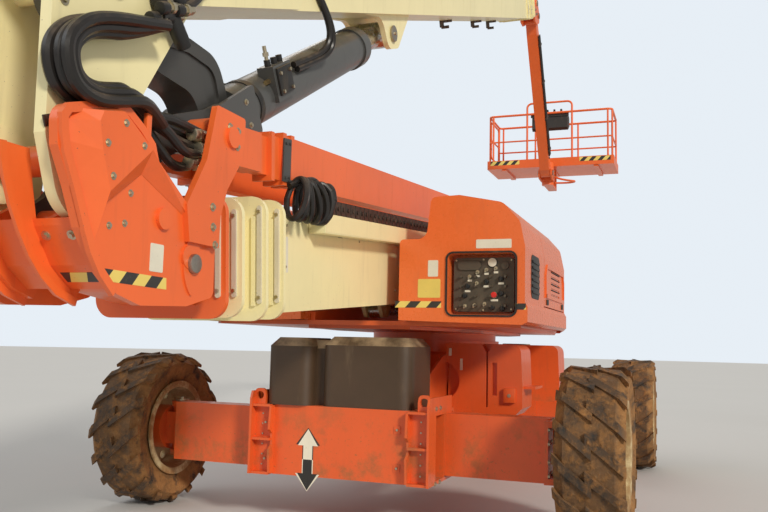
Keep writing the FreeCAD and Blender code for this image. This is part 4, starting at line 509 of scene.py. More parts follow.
def bolt(bm, place, across=None, washer=True):
    """A hexagon head on a washer, standing on a frame's x-y plane."""
    across = across or sizes().bolt
    if washer:
        drum(bm, place, across * 0.78, -0.001, across * 0.10, 14)
    drum(bm, place, across * 0.5, 0.0, across * 0.46, 6, across * 0.47)


def piece(name, bm, body, finish, smooth=True):
    """Makes an object of a bmesh, gives it its finish and lets it ride on a body."""
    bmesh.ops.recalc_face_normals(bm, faces=bm.faces[:])
    mesh = bpy.data.meshes.new(name)
    for polygon in bm.faces:
        polygon.smooth = smooth
    bm.to_mesh(mesh)
    bm.free()
    made = bpy.data.objects.new(name, mesh)
    bpy.context.scene.collection.objects.link(made)
    mesh.materials.append(FINISH[finish])
    if smooth:
        mesh.set_sharp_from_angle(angle=math.radians(32))
    if body:
        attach(made, body)
    return made


def hoses(name, body, routes, radius, finish="hose"):
    """Round hoses along smooth lines, one for each route, as one mesh."""
    curve = bpy.data.curves.new(name + "_line", "CURVE")
    curve.dimensions = "3D"
    curve.bevel_depth = radius
    curve.bevel_resolution = 3
    curve.resolution_u = 6
    curve.use_fill_caps = True
    for route in routes:
        line = curve.splines.new("NURBS")
        line.points.add(len(route) - 1)
        for point, spot in zip(line.points, route):
            point.co = (*spot, 1.0)
        line.order_u = 3
        line.use_endpoint_u = True
    made = bpy.data.objects.new(name + "_line", curve)
    bpy.context.scene.collection.objects.link(made)
    depsgraph = bpy.context.evaluated_depsgraph_get()
    bm = bmesh.new()
    bm.from_mesh(bpy.data.meshes.new_from_object(made.evaluated_get(depsgraph)))
    bpy.data.objects.remove(made)
    bmesh.ops.remove_doubles(bm, verts=bm.verts[:], dist=0.0002)
    return piece(name, bm, body, finish)


def shifted(route, dx=0.0, dy=0.0, dz=0.0):
    return [(x + dx, y + dy, z + dz) for x, y, z in route]


def make_floor(scene):
    """The pale round floor."""
    bm = bmesh.new()
    bmesh.ops.create_circle(bm, cap_ends=True, segments=96, radius=90.0)
    mesh = bpy.data.meshes.new("floor")
    bm.to_mesh(mesh)
    bm.free()
    floor = bpy.data.objects.new("floor", mesh)
    scene.collection.objects.link(floor)
    f = Finish("floor_paint")
    soft = f.noise(0.35, 6.0)
    fine = f.noise(40.0, 3.0)
    mesh.materials.append(f.done(f.tint((0.60, 0.60, 0.59), 0.96, 1.04, soft * 0.6 + fine * 0.4),
                                 fine * 0.1 + 0.75))


def make_world(scene):
    """Soft light all round, with a pale blue that only the camera sees."""
    world = bpy.data.worlds.new("studio")
    world.use_nodes = True
    tree = world.node_tree
    tree.nodes.clear()
    out = tree.nodes.new("ShaderNodeOutputWorld")
    blend = tree.nodes.new("ShaderNodeMixShader")
    light = tree.nodes.new("ShaderNodeBackground")
    shown = tree.nodes.new("ShaderNodeBackground")
    path = tree.nodes.new("ShaderNodeLightPath")
    either = tree.nodes.new("ShaderNodeMath")
    either.operation = "MAXIMUM"
    light.inputs["Color"].default_value = (1.0, 0.985, 0.96, 1)
    light.inputs["Strength"].default_value = 0.42
    shown.inputs["Color"].default_value = (0.80, 0.86, 0.92, 1)
    shown.inputs["Strength"].default_value = 1.0
    tree.links.new(path.outputs["Is Camera Ray"], either.inputs[0])
    tree.links.new(path.outputs["Is Transmission Ray"], either.inputs[1])
    tree.links.new(either.outputs[0], blend.inputs[0])
    tree.links.new(light.outputs[0], blend.inputs[1])
    tree.links.new(shown.outputs[0], blend.inputs[2])
    tree.links.new(blend.outputs[0], out.inputs["Surface"])
    scene.world = world


def make_suns(scene):
    """The low sun of the photograph and two weak fillers."""
    # name, sun strength, softness in degrees, where it shines from, colour
    suns = (
        ("key", 2.2, 9.0, (-0.78, -1.0, 0.62), (1.0, 0.94, 0.84)),
        ("fill", 0.5, 40.0, (-0.7, 1.0, 0.9), (0.92, 0.96, 1.0)),
        ("back", 0.45, 30.0, (1.0, 0.3, 0.8), (1.0, 0.97, 0.92)),
    )
    for name, strength, softness, way, colour in suns:
        lamp = bpy.data.lights.new(name, "SUN")
        lamp.energy = strength
        lamp.angle = math.radians(softness)
        lamp.color = colour
        holder = bpy.data.objects.new(name, lamp)
        holder.rotation_mode = "QUATERNION"
        holder.rotation_quaternion = Vector(way).to_track_quat("Z", "Y")
        scene.collection.objects.link(holder)


def make_camera(scene):
    """The camera of the photograph."""
    camera = bpy.data.cameras.new("view")
    camera.sensor_fit = "HORIZONTAL"
    camera.sensor_width = CAMERA_SENSOR
    camera.lens = CAMERA_LENS
    yaw, pitch, roll = (math.radians(v) for v in (CAMERA_YAW, CAMERA_PITCH, CAMERA_ROLL))
    ahead = Vector((math.cos(yaw) * math.cos(pitch), math.sin(yaw) * math.cos(pitch),
                    math.sin(pitch)))
    level = Vector((math.sin(yaw), -math.cos(yaw), 0.0))
    up = level.cross(ahead)
    right = level * math.cos(roll) + up * math.sin(roll)
    top = up * math.cos(roll) - level * math.sin(roll)
    turn = Matrix((right, top, -ahead)).transposed().to_4x4()
    turn.translation = Vector(CAMERA_SPOT)
    holder = bpy.data.objects.new("view", camera)
    holder.matrix_world = turn
    scene.collection.objects.link(holder)
    scene.camera = holder


def make_stage():
    """The floor, the studio light and the camera."""
    scene = bpy.context.scene
    scene.view_settings.view_transform = "Standard"
    make_floor(scene)
    make_world(scene)
    make_suns(scene)
    make_camera(scene)


def paint_nodes():
    """Gives every CAD node its finish, on the material slots that it has."""
    for name, made in frame["nodes"].items():
        material = FINISH[node_finish(name)]
        if not made.material_slots:
            made.data.materials.append(material)
        for place in made.material_slots:
            place.material = material


def slab(bm, place, points, low, high):
    """A closed outline of (x, y) points on a frame, carried from low to high along its z."""
    floor = [bm.verts.new(place @ Vector((x, y, low))) for x, y in points]
    roof = [bm.verts.new(place @ Vector((x, y, high))) for x, y in points]
    bm.faces.new(list(reversed(floor)))
    bm.faces.new(roof)
    for index, start in enumerate(floor):
        after = (index + 1) % len(floor)
        bm.faces.new((start, floor[after], roof[after], roof[index]))


def ribbon(path, width):
    """A strip along a path of (x, y) points, width to its right, as a closed outline."""
    inner = []
    for index, point in enumerate(path):
        here = Vector(point)
        before = Vector(path[max(index - 1, 0)])
        after = Vector(path[min(index + 1, len(path) - 1)])
        along = (after - before).normalized()
        inner.append(tuple(here + Vector((along.y, -along.x)) * width))
    return list(path) + list(reversed(inner))


def flank(side, y):
    """The frame of a side of the machine: its x and y are the machine's x and z."""
    place = facing((0, side, 0), (0, side * y, 0))
    if side > 0:
        place = place @ Matrix.Diagonal((-1, 1, 1, 1))
    return place


def front(x, y, z):
    """A frame on a face that looks forwards, its x axis to the right as seen from there."""
    return facing((-1, 0, 0), (x, y, z))


def capsule(half_x, half_y, steps=6):
    """Outline of a bar with round ends, upright when half_y is the larger."""
    return rounded(half_x, half_y, min(half_x, half_y), steps)


def rounded(half_x, half_y, radius, steps=4):
    """Outline of a rectangle with round corners about the frame's origin."""
    points = []
    for start, sx, sy in ((0, 1, 1), (90, -1, 1), (180, -1, -1), (270, 1, -1)):
        for step in range(steps + 1):
            angle = math.radians(start + 90 * step / steps)
            points.append((sx * (half_x - radius) + radius * math.cos(angle),
                           sy * (half_y - radius) + radius * math.sin(angle)))
    return points


def beside(side, x, y, z, up=(0, 0, 1)):
    """A frame on a side of the machine that looks outwards, y metres from its middle."""
    return facing((0, side, 0), (x, side * y, z), up)


def endwise(end, x, y, z):
    """A frame on an end of the machine that looks away from its middle, x metres from there."""
    return facing((end, 0, 0), (end * x, y, z))


def circle(radius, count, shift=0.0):
    """Evenly spaced points on a circle about the frame's origin, turned by a part of a step."""
    turns = [2 * math.pi * (index + shift) / count for index in range(count)]
    return [(radius * math.cos(turn), radius * math.sin(turn)) for turn in turns]


def oblong(half_x, half_y):
    """Corners of a rectangle about the frame's origin."""
    return ((-half_x, -half_y), (half_x, -half_y), (half_x, half_y), (-half_x, half_y))


def stick(bm, place, points):
    """A thin band or plate, stuck on a frame's x-y plane."""
    slab(bm, place, points, 0.0, sizes().film)


def rising(degrees):
    """The direction that rises at an angle from +X."""
    angle = math.radians(degrees)
    return Vector((math.cos(angle), 0, math.sin(angle)))


class Slope:
    """Places on an arm: u runs along it from its pivot, v above it and y to the left."""

    def __init__(self, pivot, along):
        self.pivot = pivot
        self.along = along
        self.above = Vector((-along.z, 0, along.x))

    def spot(self, u, v, y=0.0):
        return self.pivot + self.along * u + self.above * v + Vector((0, y, 0))

    def beside(self, side, u, v, y):
        """A frame on the arm's side that looks outwards, with its y axis across the arm."""
        return facing((0, side, 0), self.spot(u, v, side * y), self.above)

    def across(self, u, v, y=0.0):
        """A frame square to the arm that looks along it."""
        return facing(self.along, self.spot(u, v, y), self.above)


MAIN = Slope(JOINT["main_lift"], rising(BOOM_RISE))
TOWER = Slope(JOINT["tower_lift"], rising(TOWER_RISE))


# corners of the pressed cover on the yoke's side: name, x, z, height above the plate
YOKE_CORNERS = (
    ("r0", -5.300, 2.022, 0.001), ("r1", -5.331, 1.975, 0.001), ("r2", -5.336, 1.902, 0.001),
    ("r3", -5.290, 1.795, 0.001), ("r4", -5.185, 1.556, 0.001), ("a1", -5.232, 2.026, 0.062),
    ("a2", -5.250, 1.985, 0.062), ("a3", -5.226, 1.890, 0.062), ("a4", -5.178, 1.758, 0.062),
    ("b1", -5.124, 2.052, 0.062), ("b2", -4.953, 1.953, 0.062), ("t1", -5.100, 2.078, 0.001),
    ("t2", -4.888, 1.965, 0.001), ("t3", -4.600, 1.735, 0.001), ("c2", -4.935, 1.868, 0.001),
    ("d4", -5.130, 1.722, 0.001),
)
YOKE_FACES = (
    "r0 r1 a2 a1", "r1 r2 a3 a2", "r2 r3 a3", "r3 a4 a3", "r3 r4 a4", "r0 a1 b1 t1", "t1 b1 b2 t2",
    "a1 a2 a3 a4 b2 b1", "a4 d4 c2 b2", "b2 c2 t3", "b2 t3 t2", "a4 r4 d4",
    "t1 t2 t3 c2 d4 r4 r3 r2 r1 r0",
)
YOKE_EDGE = ((-5.075, 1.405), (-5.150, 1.470), (-5.205, 1.545), (-5.245, 1.625), (-5.305, 1.755),
             (-5.360, 1.862), (-5.376, 1.930), (-5.380, 1.985), (-5.352, 2.024), (-5.250, 2.058),
             (-5.130, 2.098), (-5.040, 2.096), (-4.950, 2.050), (-4.878, 1.998), (-4.852, 1.935),
             (-4.570, 1.752))

# curved edge of the inner plates that carry the linkage: x, z
INNER_RIB = ((-5.376, 1.905), (-5.372, 1.860), (-5.348, 1.788), (-5.316, 1.706), (-5.272, 1.628),
             (-5.222, 1.552), (-5.160, 1.484), (-5.090, 1.433), (-4.990, 1.400), (-4.965, 1.436),
             (-5.018, 1.446), (-5.118, 1.520), (-5.206, 1.650), (-5.236, 1.780), (-5.262, 1.905))
RIB_OUTER = 9  # how many of them lie on the outer edge


def make_yoke_trim():
    """Pressed covers, rims, ribs, bolts, pin caps, hazard bands and the blank plate of the yoke."""
    skin = 0.336
    bracket = 0.362
    cover, rims, studs, caps = meshes(4)
    bands, labels, inner_ribs, cross_bands = meshes(4)
    pin = JOINT["main_lift"]
    for side in (-1, 1):
        corners = {key: cover.verts.new((x, side * (skin + up), z)) for key, x, z, up in YOKE_CORNERS}
        for face in YOKE_FACES:
            cover.faces.new([corners[key] for key in face.split()])
        place = flank(side, skin)
        slab(rims, place, ribbon(YOKE_EDGE, 0.034), -0.004, 0.016)
        # bolt places on the side plate: x, z, how far the pressing stands out there
        for x, z, up in ((-5.115, 2.013, 0.062), (-5.205, 1.921, 0.062), (-5.007, 1.956, 0.062),
                         (-5.168, 1.813, 0.062), (-4.991, 1.787, 0.0), (-5.100, 1.652, 0.0),
                         (-5.016, 1.672, 0.0)):
            bolt(studs, beside(side, x, skin + up, z), 0.018)
        for x, z in ((-4.368, 2.194), (-4.363, 2.128), (-4.480, 1.818), (-4.470, 1.734),
                     (-4.450, 1.660), (-4.300, 2.190), (-4.300, 2.120)):
            bolt(studs, beside(side, x, bracket, z), 0.024)
        drum(rims, beside(side, -4.773, skin, 1.72), 0.028, -0.002, 0.014, 24, edge=0.004)
        pivot = beside(side, -4.581, skin, 1.567)
        drum(caps, pivot, 0.040, 0.0, 0.030, 28, edge=0.006)
        # the pivot's keeper plate: two arcs that meet in points
        keeper = []
        for way in (1, -1):
            for angle in map(math.radians, range(-52, 53, 8)):
                keeper.append((way * (0.150 * math.cos(angle) - 0.088), way * 0.165 * math.sin(angle)))
        slab(rims, pivot, keeper, -0.002, 0.008)
        stick(bands, place, ((-5.154, 1.500), (-4.747, 1.495), (-4.744, 1.450), (-5.062, 1.455)))
        drum(caps, beside(side, pin.x, skin + 0.012, pin.z), 0.050, 0.0, 0.010, 28, edge=0.003)
        middle = flank(side, 0.0)
        slab(inner_ribs, middle, INNER_RIB, 0.086, 0.114)
        slab(inner_ribs, middle, ribbon(INNER_RIB[:RIB_OUTER], 0.030), 0.112, 0.126)
        low_face = facing((-0.583, 0, -0.812), (-5.0755, side * 0.232, 1.4725))
        stick(cross_bands, low_face, oblong(0.100, 0.026))
    for y in (-0.261, -0.150, 0.150, 0.261):
        bolt(studs, facing((-0.80, 0, -0.60), (-5.196, y, 1.608)), 0.024)
    stick(labels, at(flank(-1, skin), -4.815, 1.567), rounded(0.042, 0.054, 0.006))
    piece("yoke_inner_ribs", inner_ribs, "yoke", "orange")
    piece("yoke_cross_bands", cross_bands, "yoke", "band_y", smooth=False)
    piece("yoke_pressings", cover, "yoke", "orange", smooth=False)
    piece("yoke_rims", rims, "yoke", "orange")
    piece("yoke_bolts", studs, "yoke", "zinc")
    piece("yoke_pin_caps", caps, "yoke", "bare")
    piece("yoke_hazard_bands", bands, "yoke", "band_x", smooth=False)
    piece("yoke_label", labels, "yoke", "plate", smooth=False)


def make_boom_trim():
    """Fittings of the main boom: bolts, slot plate, pin caps, hose hangers and wear pads."""
    studs, caps, dark, pads = meshes(4)
    lug_u, lug_v = LIFT_EYE
    for side in (-1, 1):
        out = (0, side, 0)
        for u, v in ((0.0, 0.55), (-0.10, 0.32), (0.55, 0.93), (0.95, 0.95), (1.40, 0.92),
                     (1.75, 0.88), (1.05, 0.62), (1.50, 0.62), (1.85, 0.68)):
            bolt(studs, MAIN.beside(side, u, v, 0.253), 0.030)
        lug = facing(out, MAIN.spot(lug_u, lug_v, side * 0.160))
        drum(caps, lug, 0.062, -0.002, 0.012, 28, edge=0.004)
        bolt(studs, at(lug, z=0.012), 0.026, washer=False)
        goose = facing(out, JOINT["gooseneck_tilt"] + Vector((0, side * 0.259, 0)))
        drum(caps, goose, 0.056, -0.002, 0.014, 28, edge=0.004)
        # wear pads of the two collars at the mouth of the base section
        for u in (9.735, 9.505):
            for v in (0.66, 0.95):
                pad = MAIN.beside(side, u, v, 0.214)
                block(pads, pad, (-0.012, 0.012), (-0.06, 0.06), (-0.001, 0.012), 0.002)
                bolt(studs, at(pad, z=0.012), 0.016, washer=False)
    # hose hangers under the boom: place along it, length down
    for u, down in ((4.55, 0.16), (6.35, 0.07), (7.75, 0.07), (8.6, 0.09)):
        place = facing(-MAIN.along, MAIN.spot(u, 0.54), MAIN.above)
        block(dark, place, (-0.19, -0.15), (-down, 0.002), (-0.02, 0.02), 0.004)
        block(dark, place, (-0.15, -0.06), (-0.025, 0.0015), (-0.02, 0.02), 0.003)
        drum(dark, facing((0, -1, 0), MAIN.spot(u, 0.54 - down, 0.145)), 0.016, -0.03, 0.05, 14)
    slot_plate = MAIN.beside(-1, -0.16, 0.155, 0.253)
    block(dark, slot_plate, (-0.055, 0.055), (-0.02, 0.02), (-0.001, 0.006), 0.002)
    piece("boom_bolts", studs, "main_base", "zinc")
    piece("boom_pin_caps", caps, "main_base", "bare")
    piece("boom_hangers", dark, "main_base", "chain")
    piece("boom_wear_pads", pads, "main_base", "wear_pad")


def make_lift_trim():
    """Strap, valve block, pin caps, end bolts and supply hoses of the main lift cylinder."""
    foot = JOINT["lift_cylinder_tilt"]
    barrel = Slope(foot, (MAIN.spot(*LIFT_EYE) - foot).normalized())
    dark, shiny, brass = meshes(3)
    strap = barrel.across(0.40, 0)
    slab(dark, strap, circle(0.141, 32), 0.0, 0.045)
    block(dark, strap, (0.06, 0.172), (-0.15, 0.13), (0.0, 0.04), 0.006)
    # valve block: cartridges, ports and the upright stud
    valve = barrel.beside(-1, 0.69, 0.075, 0.158)
    block(dark, valve, (-0.085, 0.085), (-0.075, 0.075), (-0.001, 0.014), 0.004)
    for u, v in ((0.63, 0.12), (0.75, 0.12), (0.63, 0.02), (0.75, 0.02)):
        bolt(shiny, barrel.beside(-1, u, v, 0.172), 0.022, washer=False)
    for u in (0.62, 0.70, 0.77):
        drum(dark, facing(barrel.above, barrel.spot(u, 0.165, -0.11)), 0.018, -0.001, 0.035, 12)
    upright = facing(barrel.above, barrel.spot(0.62, 0.20, -0.11))
    drum(shiny, upright, 0.011, -0.002, 0.075, 14)
    drum(shiny, upright, 0.017, 0.020, 0.040, 6)
    # ports: place along and above, and the way they look along the barrel
    for u, v, way in ((0.795, 0.06, 1), (0.795, 0.12, 1), (0.59, 0.09, -1)):
        port = facing(barrel.along * way, barrel.spot(u, v, -0.115))
        drum(brass, port, 0.015, -0.001, 0.045, 6)
    for side in (-1, 1):
        cap = facing((0, side, 0), barrel.spot(0, 0, side * 0.1615))
        drum(shiny, cap, 0.044, -0.001, 0.008, 24, edge=0.003)
        for v in (0.06, -0.06):
            bolt(shiny, barrel.beside(side, 0.22, v, 0.157), 0.022)
    ends = barrel.across(2.17, 0)
    for x, y in circle(0.118, 12):
        bolt(shiny, at(ends, x, y), 0.020, washer=False)
    piece("lift_straps", dark, "lift_cylinder", "knob")
    piece("lift_fittings", shiny, "lift_cylinder", "zinc")
    piece("lift_ports", brass, "lift_cylinder", "brass")
    supply = [(-3.30, -0.215, 3.36), (-3.16, -0.222, 3.28), (-3.02, -0.222, 3.19),
              (-2.965, -0.214, 3.11), (-2.99, -0.196, 3.02), (-3.12, -0.165, 2.93),
              (-3.30, -0.140, 2.83)]
    beneath = shifted(supply, -0.042, 0.004, 0.012)
    hoses("lift_supply_hoses", "lift_cylinder", [supply, beneath], 0.019)


def make_hose_loop():
    """The thick bundle that loops from the boom's foot down to the yoke, and its fittings."""
    lines = []
    middle_x, middle_z = -5.16, 2.235
    # how far each hose lies outwards (y) and in along the loop's radius
    for out, inward in ((-0.285, 0.0), (-0.325, 0.012), (-0.365, 0.0), (-0.302, 0.040),
                        (-0.345, 0.046), (-0.322, 0.078)):
        narrow = 1.0 - inward * 4.2
        loop = []
        for x, z in ((-4.86, 2.470), (-4.99, 2.432), (-5.16, 2.385), (-5.30, 2.330), (-5.385, 2.245),
                     (-5.390, 2.165), (-5.345, 2.085), (-5.235, 2.062), (-5.10, 2.098),
                     (-4.98, 2.135)):
            pull = narrow if x < -4.95 else 1.0
            loop.append((middle_x + (x - middle_x) * pull, out, middle_z + (z - middle_z) * pull))
        loop.append((-4.885, out * 0.92, 2.130))
        loop.append((-4.760, out * 0.80, 2.105))
        lines.append(loop)
    made = hoses("boom_hose_loop", None, lines, 0.0235)
    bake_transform(made)
    make_yoke_hoses()
    make_foot_hoses()


def make_yoke_hoses():
    """Hoses that run on from the loop between the links, with their unions and clip."""
    runs = []
    # for each hose: y, how high it lies, how far it sags
    for out, rise, bow in ((-0.262, 0.000, 0.00), (-0.292, 0.000, -0.05), (-0.276, 0.045, 0.03),
                           (-0.236, -0.045, -0.06), (-0.222, 0.035, 0.02)):
        runs.append([(-4.790, out, 2.110 + rise * 0.5), (-4.720, out, 2.100 + rise + bow * 0.2),
                     (-4.600, out, 2.075 + rise + bow), (-4.470, out * 0.98, 2.085 + rise + bow * 0.6),
                     (-4.330, out * 0.92, 2.110 + rise), (-4.180, out * 0.86, 2.120 + rise)])
    hoses("yoke_hoses", "yoke", runs, 0.021)
    clip, unions = meshes(2)
    for x, y, z in ((-4.500, -0.276, 2.130), (-4.470, -0.290, 2.072), (-4.495, -0.262, 2.012),
                    (-4.420, -0.226, 2.148)):
        union = facing((-1, 0, -0.12), (x, y, z))
        drum(unions, union, 0.030, -0.055, 0.035, 16, edge=0.004)
        drum(unions, union, 0.034, -0.018, 0.002, 6)
    place = beside(-1, -4.905, 0.336, 2.045)
    block(clip, place, (-0.016, 0.016), (-0.05, 0.065), (-0.016, 0.004), 0.006)
    piece("yoke_hose_unions", unions, "yoke", "zinc")
    piece("yoke_hose_clip", clip, "yoke", "orange")


def make_foot_hoses():
    """Unions, sleeves and hoses at the main boom's foot, and those that run up beside its tube."""
    unions, sleeves = meshes(2)
    spots = ((-4.86, 2.470), (-4.83, 2.520), (-4.80, 2.570), (-4.77, 2.620), (-4.74, 2.560),
             (-4.70, 2.600))
    for index, (x, z) in enumerate(spots):
        place = facing((-0.92, 0, -0.38), (x, -0.285 - 0.022 * (index % 3), z))
        drum(unions, place, 0.021, -0.050, 0.030, 6)
        drum(unions, place, 0.026, -0.012, 0.006, 12)
        drum(sleeves, place, 0.027, 0.028, 0.075, 14, edge=0.004)
    for x, z in ((-4.735, 2.655), (-4.70, 2.51)):
        drum(sleeves, facing((-0.7, 0, 0.7), (x, -0.300, z)), 0.034, -0.07, 0.07, 16, edge=0.006)
    piece("boom_hose_unions", unions, "main_base", "zinc")
    piece("boom_hose_sleeves", sleeves, "main_base", "knob")
    upper = []
    for index in range(5):
        y = -0.275 - 0.022 * (index % 3)
        lag = 0.030 * index
        upper.append([(-4.90 + lag, y, 2.46 + lag), (-4.80 + lag, y, 2.52 + lag),
                      (-4.68 + lag * 0.6, y - 0.01, 2.60 + lag * 0.8), (-4.56, y, 2.70 + lag * 0.6),
                      (-4.46, -0.262, 2.80 + lag * 0.5), (-4.30, -0.262, 2.88 + lag * 0.4)])
    hoses("boom_foot_hoses", "main_base", upper, 0.018)
    risers = []
    for index in range(4):
        height = 0.70 + 0.05 * index
        risers.append([tuple(MAIN.spot(u, v, -0.272)) for u, v in
                       ((0.95, height - 0.02), (1.30, height), (1.70, height), (2.06, height))])
    hoses("boom_side_hoses", "main_base", risers, 0.016)


# collars of each tower section: place of the front face, how far out and how high its strip reaches
TOWER_COLLARS = {"tower_base": ((-5.355, 0.345, 0.235), (-5.175, 0.345, 0.235)),
                 "tower_mid": ((-5.570, 0.335, 0.200),), "tower_fly": ((-5.700, 0.330, 0.200),)}


def make_collar_trim():
    """Wear strips and bolts on the collars of each tower section."""
    for body, collars in TOWER_COLLARS.items():
        strips, studs = meshes(2)
        for u, y, reach in collars:
            for side in (-1, 1):
                place = facing(-TOWER.along, TOWER.spot(u, 0.03, side * (y - 0.018)), TOWER.above)
                slab(strips, place, capsule(0.012, reach), -0.001, 0.012)
                for v in (-reach + 0.03, reach - 0.03):
                    bolt(studs, at(place, 0, v, 0.012), 0.020, washer=False)
                    inset = TOWER.beside(side, u + 0.030, v * 0.8 + 0.03, y)
                    bolt(studs, inset, 0.001, washer=False)
        piece(body + "_collar_strips", strips, body, "wear_pad")
        piece(body + "_collar_bolts", studs, body, "zinc")


def make_tower_trim():
    """Collar strips, bolts, the blank plate, the cream tray, the chain and the hose coil."""
    make_collar_trim()
    studs, labels = meshes(2)
    for u, v in ((-5.02, 0.20), (-4.93, 0.20), (-5.02, 0.02), (-4.94, -0.02), (-5.02, -0.10),
                 (-3.9, 0.16), (-3.2, -0.16), (-2.7, 0.14)):
        for side in (-1, 1):
            bolt(studs, TOWER.beside(side, u, v, 0.25), 0.014, washer=False)
    stick(labels, TOWER.beside(-1, -4.985, 0.045, 0.25), rounded(0.075, 0.095, 0.008))
    make_chain()
    # grey strap across each upper link
    straps = bmesh.new()
    for side in (-1, 1):
        outline = ((-3.722, 2.080), (-3.640, 2.088), (-3.640, 2.318), (-3.722, 2.308))
        slab(straps, flank(side, 0.288), outline, -0.001, 0.008)
        for x, z in ((-3.70, 2.105), (-3.70, 2.285), (-3.66, 2.110), (-3.66, 2.290)):
            bolt(straps, beside(side, x, 0.296, z), 0.016, washer=False)
    piece("link_straps", straps, "link_base", "grey")
    piece("tower_bolts", studs, "tower_base", "zinc")
    piece("tower_label", labels, "tower_base", "plate", smooth=False)
    make_tray()
    make_coil()


# the hose tray on the tower's right side: its place, and where it starts and ends along the tower
TRAY = TOWER.beside(-1, -3.43, 0.272, 0.352)
TRAY_START, TRAY_END = -1.22, 0.86


def make_tray():
    """Cream tray under the chain carrier, with a folded lower lip and an end plate."""
    tray = bmesh.new()
    start, end = TRAY_START, TRAY_END
    slab(tray, TRAY, ((start, 0.010), (start, -0.095), (end, -0.095), (end, 0.010)), 0.0, 0.005)
    block(tray, TRAY, (start, end), (-0.100, -0.093), (-0.095, 0.005), 0.001)
    block(tray, TRAY, (start - 0.015, start + 0.005), (-0.100, 0.020), (-0.095, 0.006), 0.001)
    block(tray, TRAY, (start, end), (0.004, 0.010), (-0.095, 0.003), 0.001)
    piece("tower_hose_tray", tray, "tower_base", "cream")


def make_chain():
    """Links of the hose carrier above the tray, and the strip behind them."""
    links = bmesh.new()
    start = TRAY_START - 0.02
    strip = ((start, 0.008), (TRAY_END, 0.008), (TRAY_END, 0.092), (start, 0.092))
    slab(links, TRAY, strip, -0.006, 0.001)
    for index in range(28):
        link = TOWER.beside(-1, -4.630 + 0.074 * index, 0.322, 0.3525)
        slab(links, link, rounded(0.033, 0.040, 0.012, 3), -0.001, 0.006)
        drum(links, at(link, 0.0, 0.0, 0.006), 0.013, -0.001, 0.006, 14)
        block(links, link, (-0.042, -0.032), (-0.022, 0.022), (-0.001, 0.010), 0.002)
    piece("tower_chain_links", links, "tower_base", "chain")


def make_coil():
    """Rings of hose at the tray's front end, their two leads and the clamp."""
    coils = []
    for index in range(7):
        u = -4.98 + 0.058 * index
        loop = []
        for step in range(13):
            angle = 2 * math.pi * step / 12 + index * 0.5
            lean = 0.045 * math.sin(angle + index)
            loop.append(tuple(TOWER.spot(u + lean, 0.335 + 0.112 * math.sin(angle),
                                         -0.335 + 0.055 * math.cos(angle))))
        coils.append(loop)
    for lead in (((-4.99, 0.40, -0.30), (-4.8, 0.47, -0.33), (-4.72, 0.43, -0.35),
                  (-4.62, 0.36, -0.33)),
                 ((-5.00, 0.42, -0.285), (-4.8, 0.425, -0.30), (-4.72, 0.40, -0.31),
                  (-4.62, 0.34, -0.30))):
        coils.append([tuple(TOWER.spot(*place)) for place in lead])
    hoses("tower_hose_coil", "tower_base", coils, 0.0165)
    clamp = bmesh.new()
    place = TOWER.beside(-1, -4.66, 0.290, 0.30)
    block(clamp, place, (-0.04, 0.06), (-0.03, 0.09), (-0.055, 0.055), 0.006)
    piece("tower_hose_clamp", clamp, "tower_base", "chain")


HOOD_FACE = -2.100  # X of the front cowl's flat face
# the recess of the ground controls: its middle, y and z
PANEL_Y, PANEL_Z = -0.950, 1.670
PANEL_DEPTH = 0.078
# switches of the ground controls: right of the middle, up, kind
SWITCHES = (
    (-0.095, 0.055, "toggle"), (-0.040, 0.085, "toggle"), (0.020, 0.100, "toggle"),
    (0.085, 0.110, "toggle"), (-0.110, -0.010, "knob"), (-0.045, 0.010, "toggle"),
    (0.020, 0.020, "knob"), (0.120, 0.040, "knob"), (-0.130, -0.075, "knob"),
    (0.075, -0.070, "stop"), (0.120, -0.060, "knob"), (-0.125, -0.145, "toggle"),
    (-0.060, -0.140, "toggle"), (0.010, -0.130, "toggle"), (0.060, -0.155, "knob"),
    (0.130, -0.160, "knob"), (0.060, 0.150, "dial"),
)
# blank tabs under the switches: right of the middle, up, width
TABS = ((-0.095, 0.028, 0.03), (-0.040, 0.058, 0.03), (0.020, 0.073, 0.03), (0.085, 0.083, 0.03),
        (-0.110, -0.044, 0.04), (0.020, -0.012, 0.04), (0.120, 0.008, 0.04), (0.075, -0.105, 0.05))


def make_hood_trim():
    """Blank plates and hazard bands of the hoods, the control panel, doors and vents."""
    labels, yellow, bands = meshes(3)
    stick(labels, front(HOOD_FACE, -1.035, 1.938), rounded(0.120, 0.030, 0.006))
    stick(labels, front(HOOD_FACE, -0.616, 1.776), rounded(0.036, 0.056, 0.006))
    stick(yellow, front(HOOD_FACE, -0.590, 1.640), rounded(0.080, 0.064, 0.008))
    stick(bands, front(HOOD_FACE, -0.512, 1.530), oblong(0.165, 0.022))
    stick(bands, front(HOOD_FACE, -1.216, 1.520), oblong(0.036, 0.020))
    stick(bands, front(HOOD_FACE, 0.512, 1.530), oblong(0.165, 0.022))
    piece("hood_labels", labels, "turntable", "plate", smooth=False)
    piece("hood_yellow_label", yellow, "turntable", "plate_yellow", smooth=False)
    piece("hood_hazard_bands", bands, "turntable", "band_y", smooth=False)
    make_panel_seal()
    make_panel_switches()
    make_door_trim()


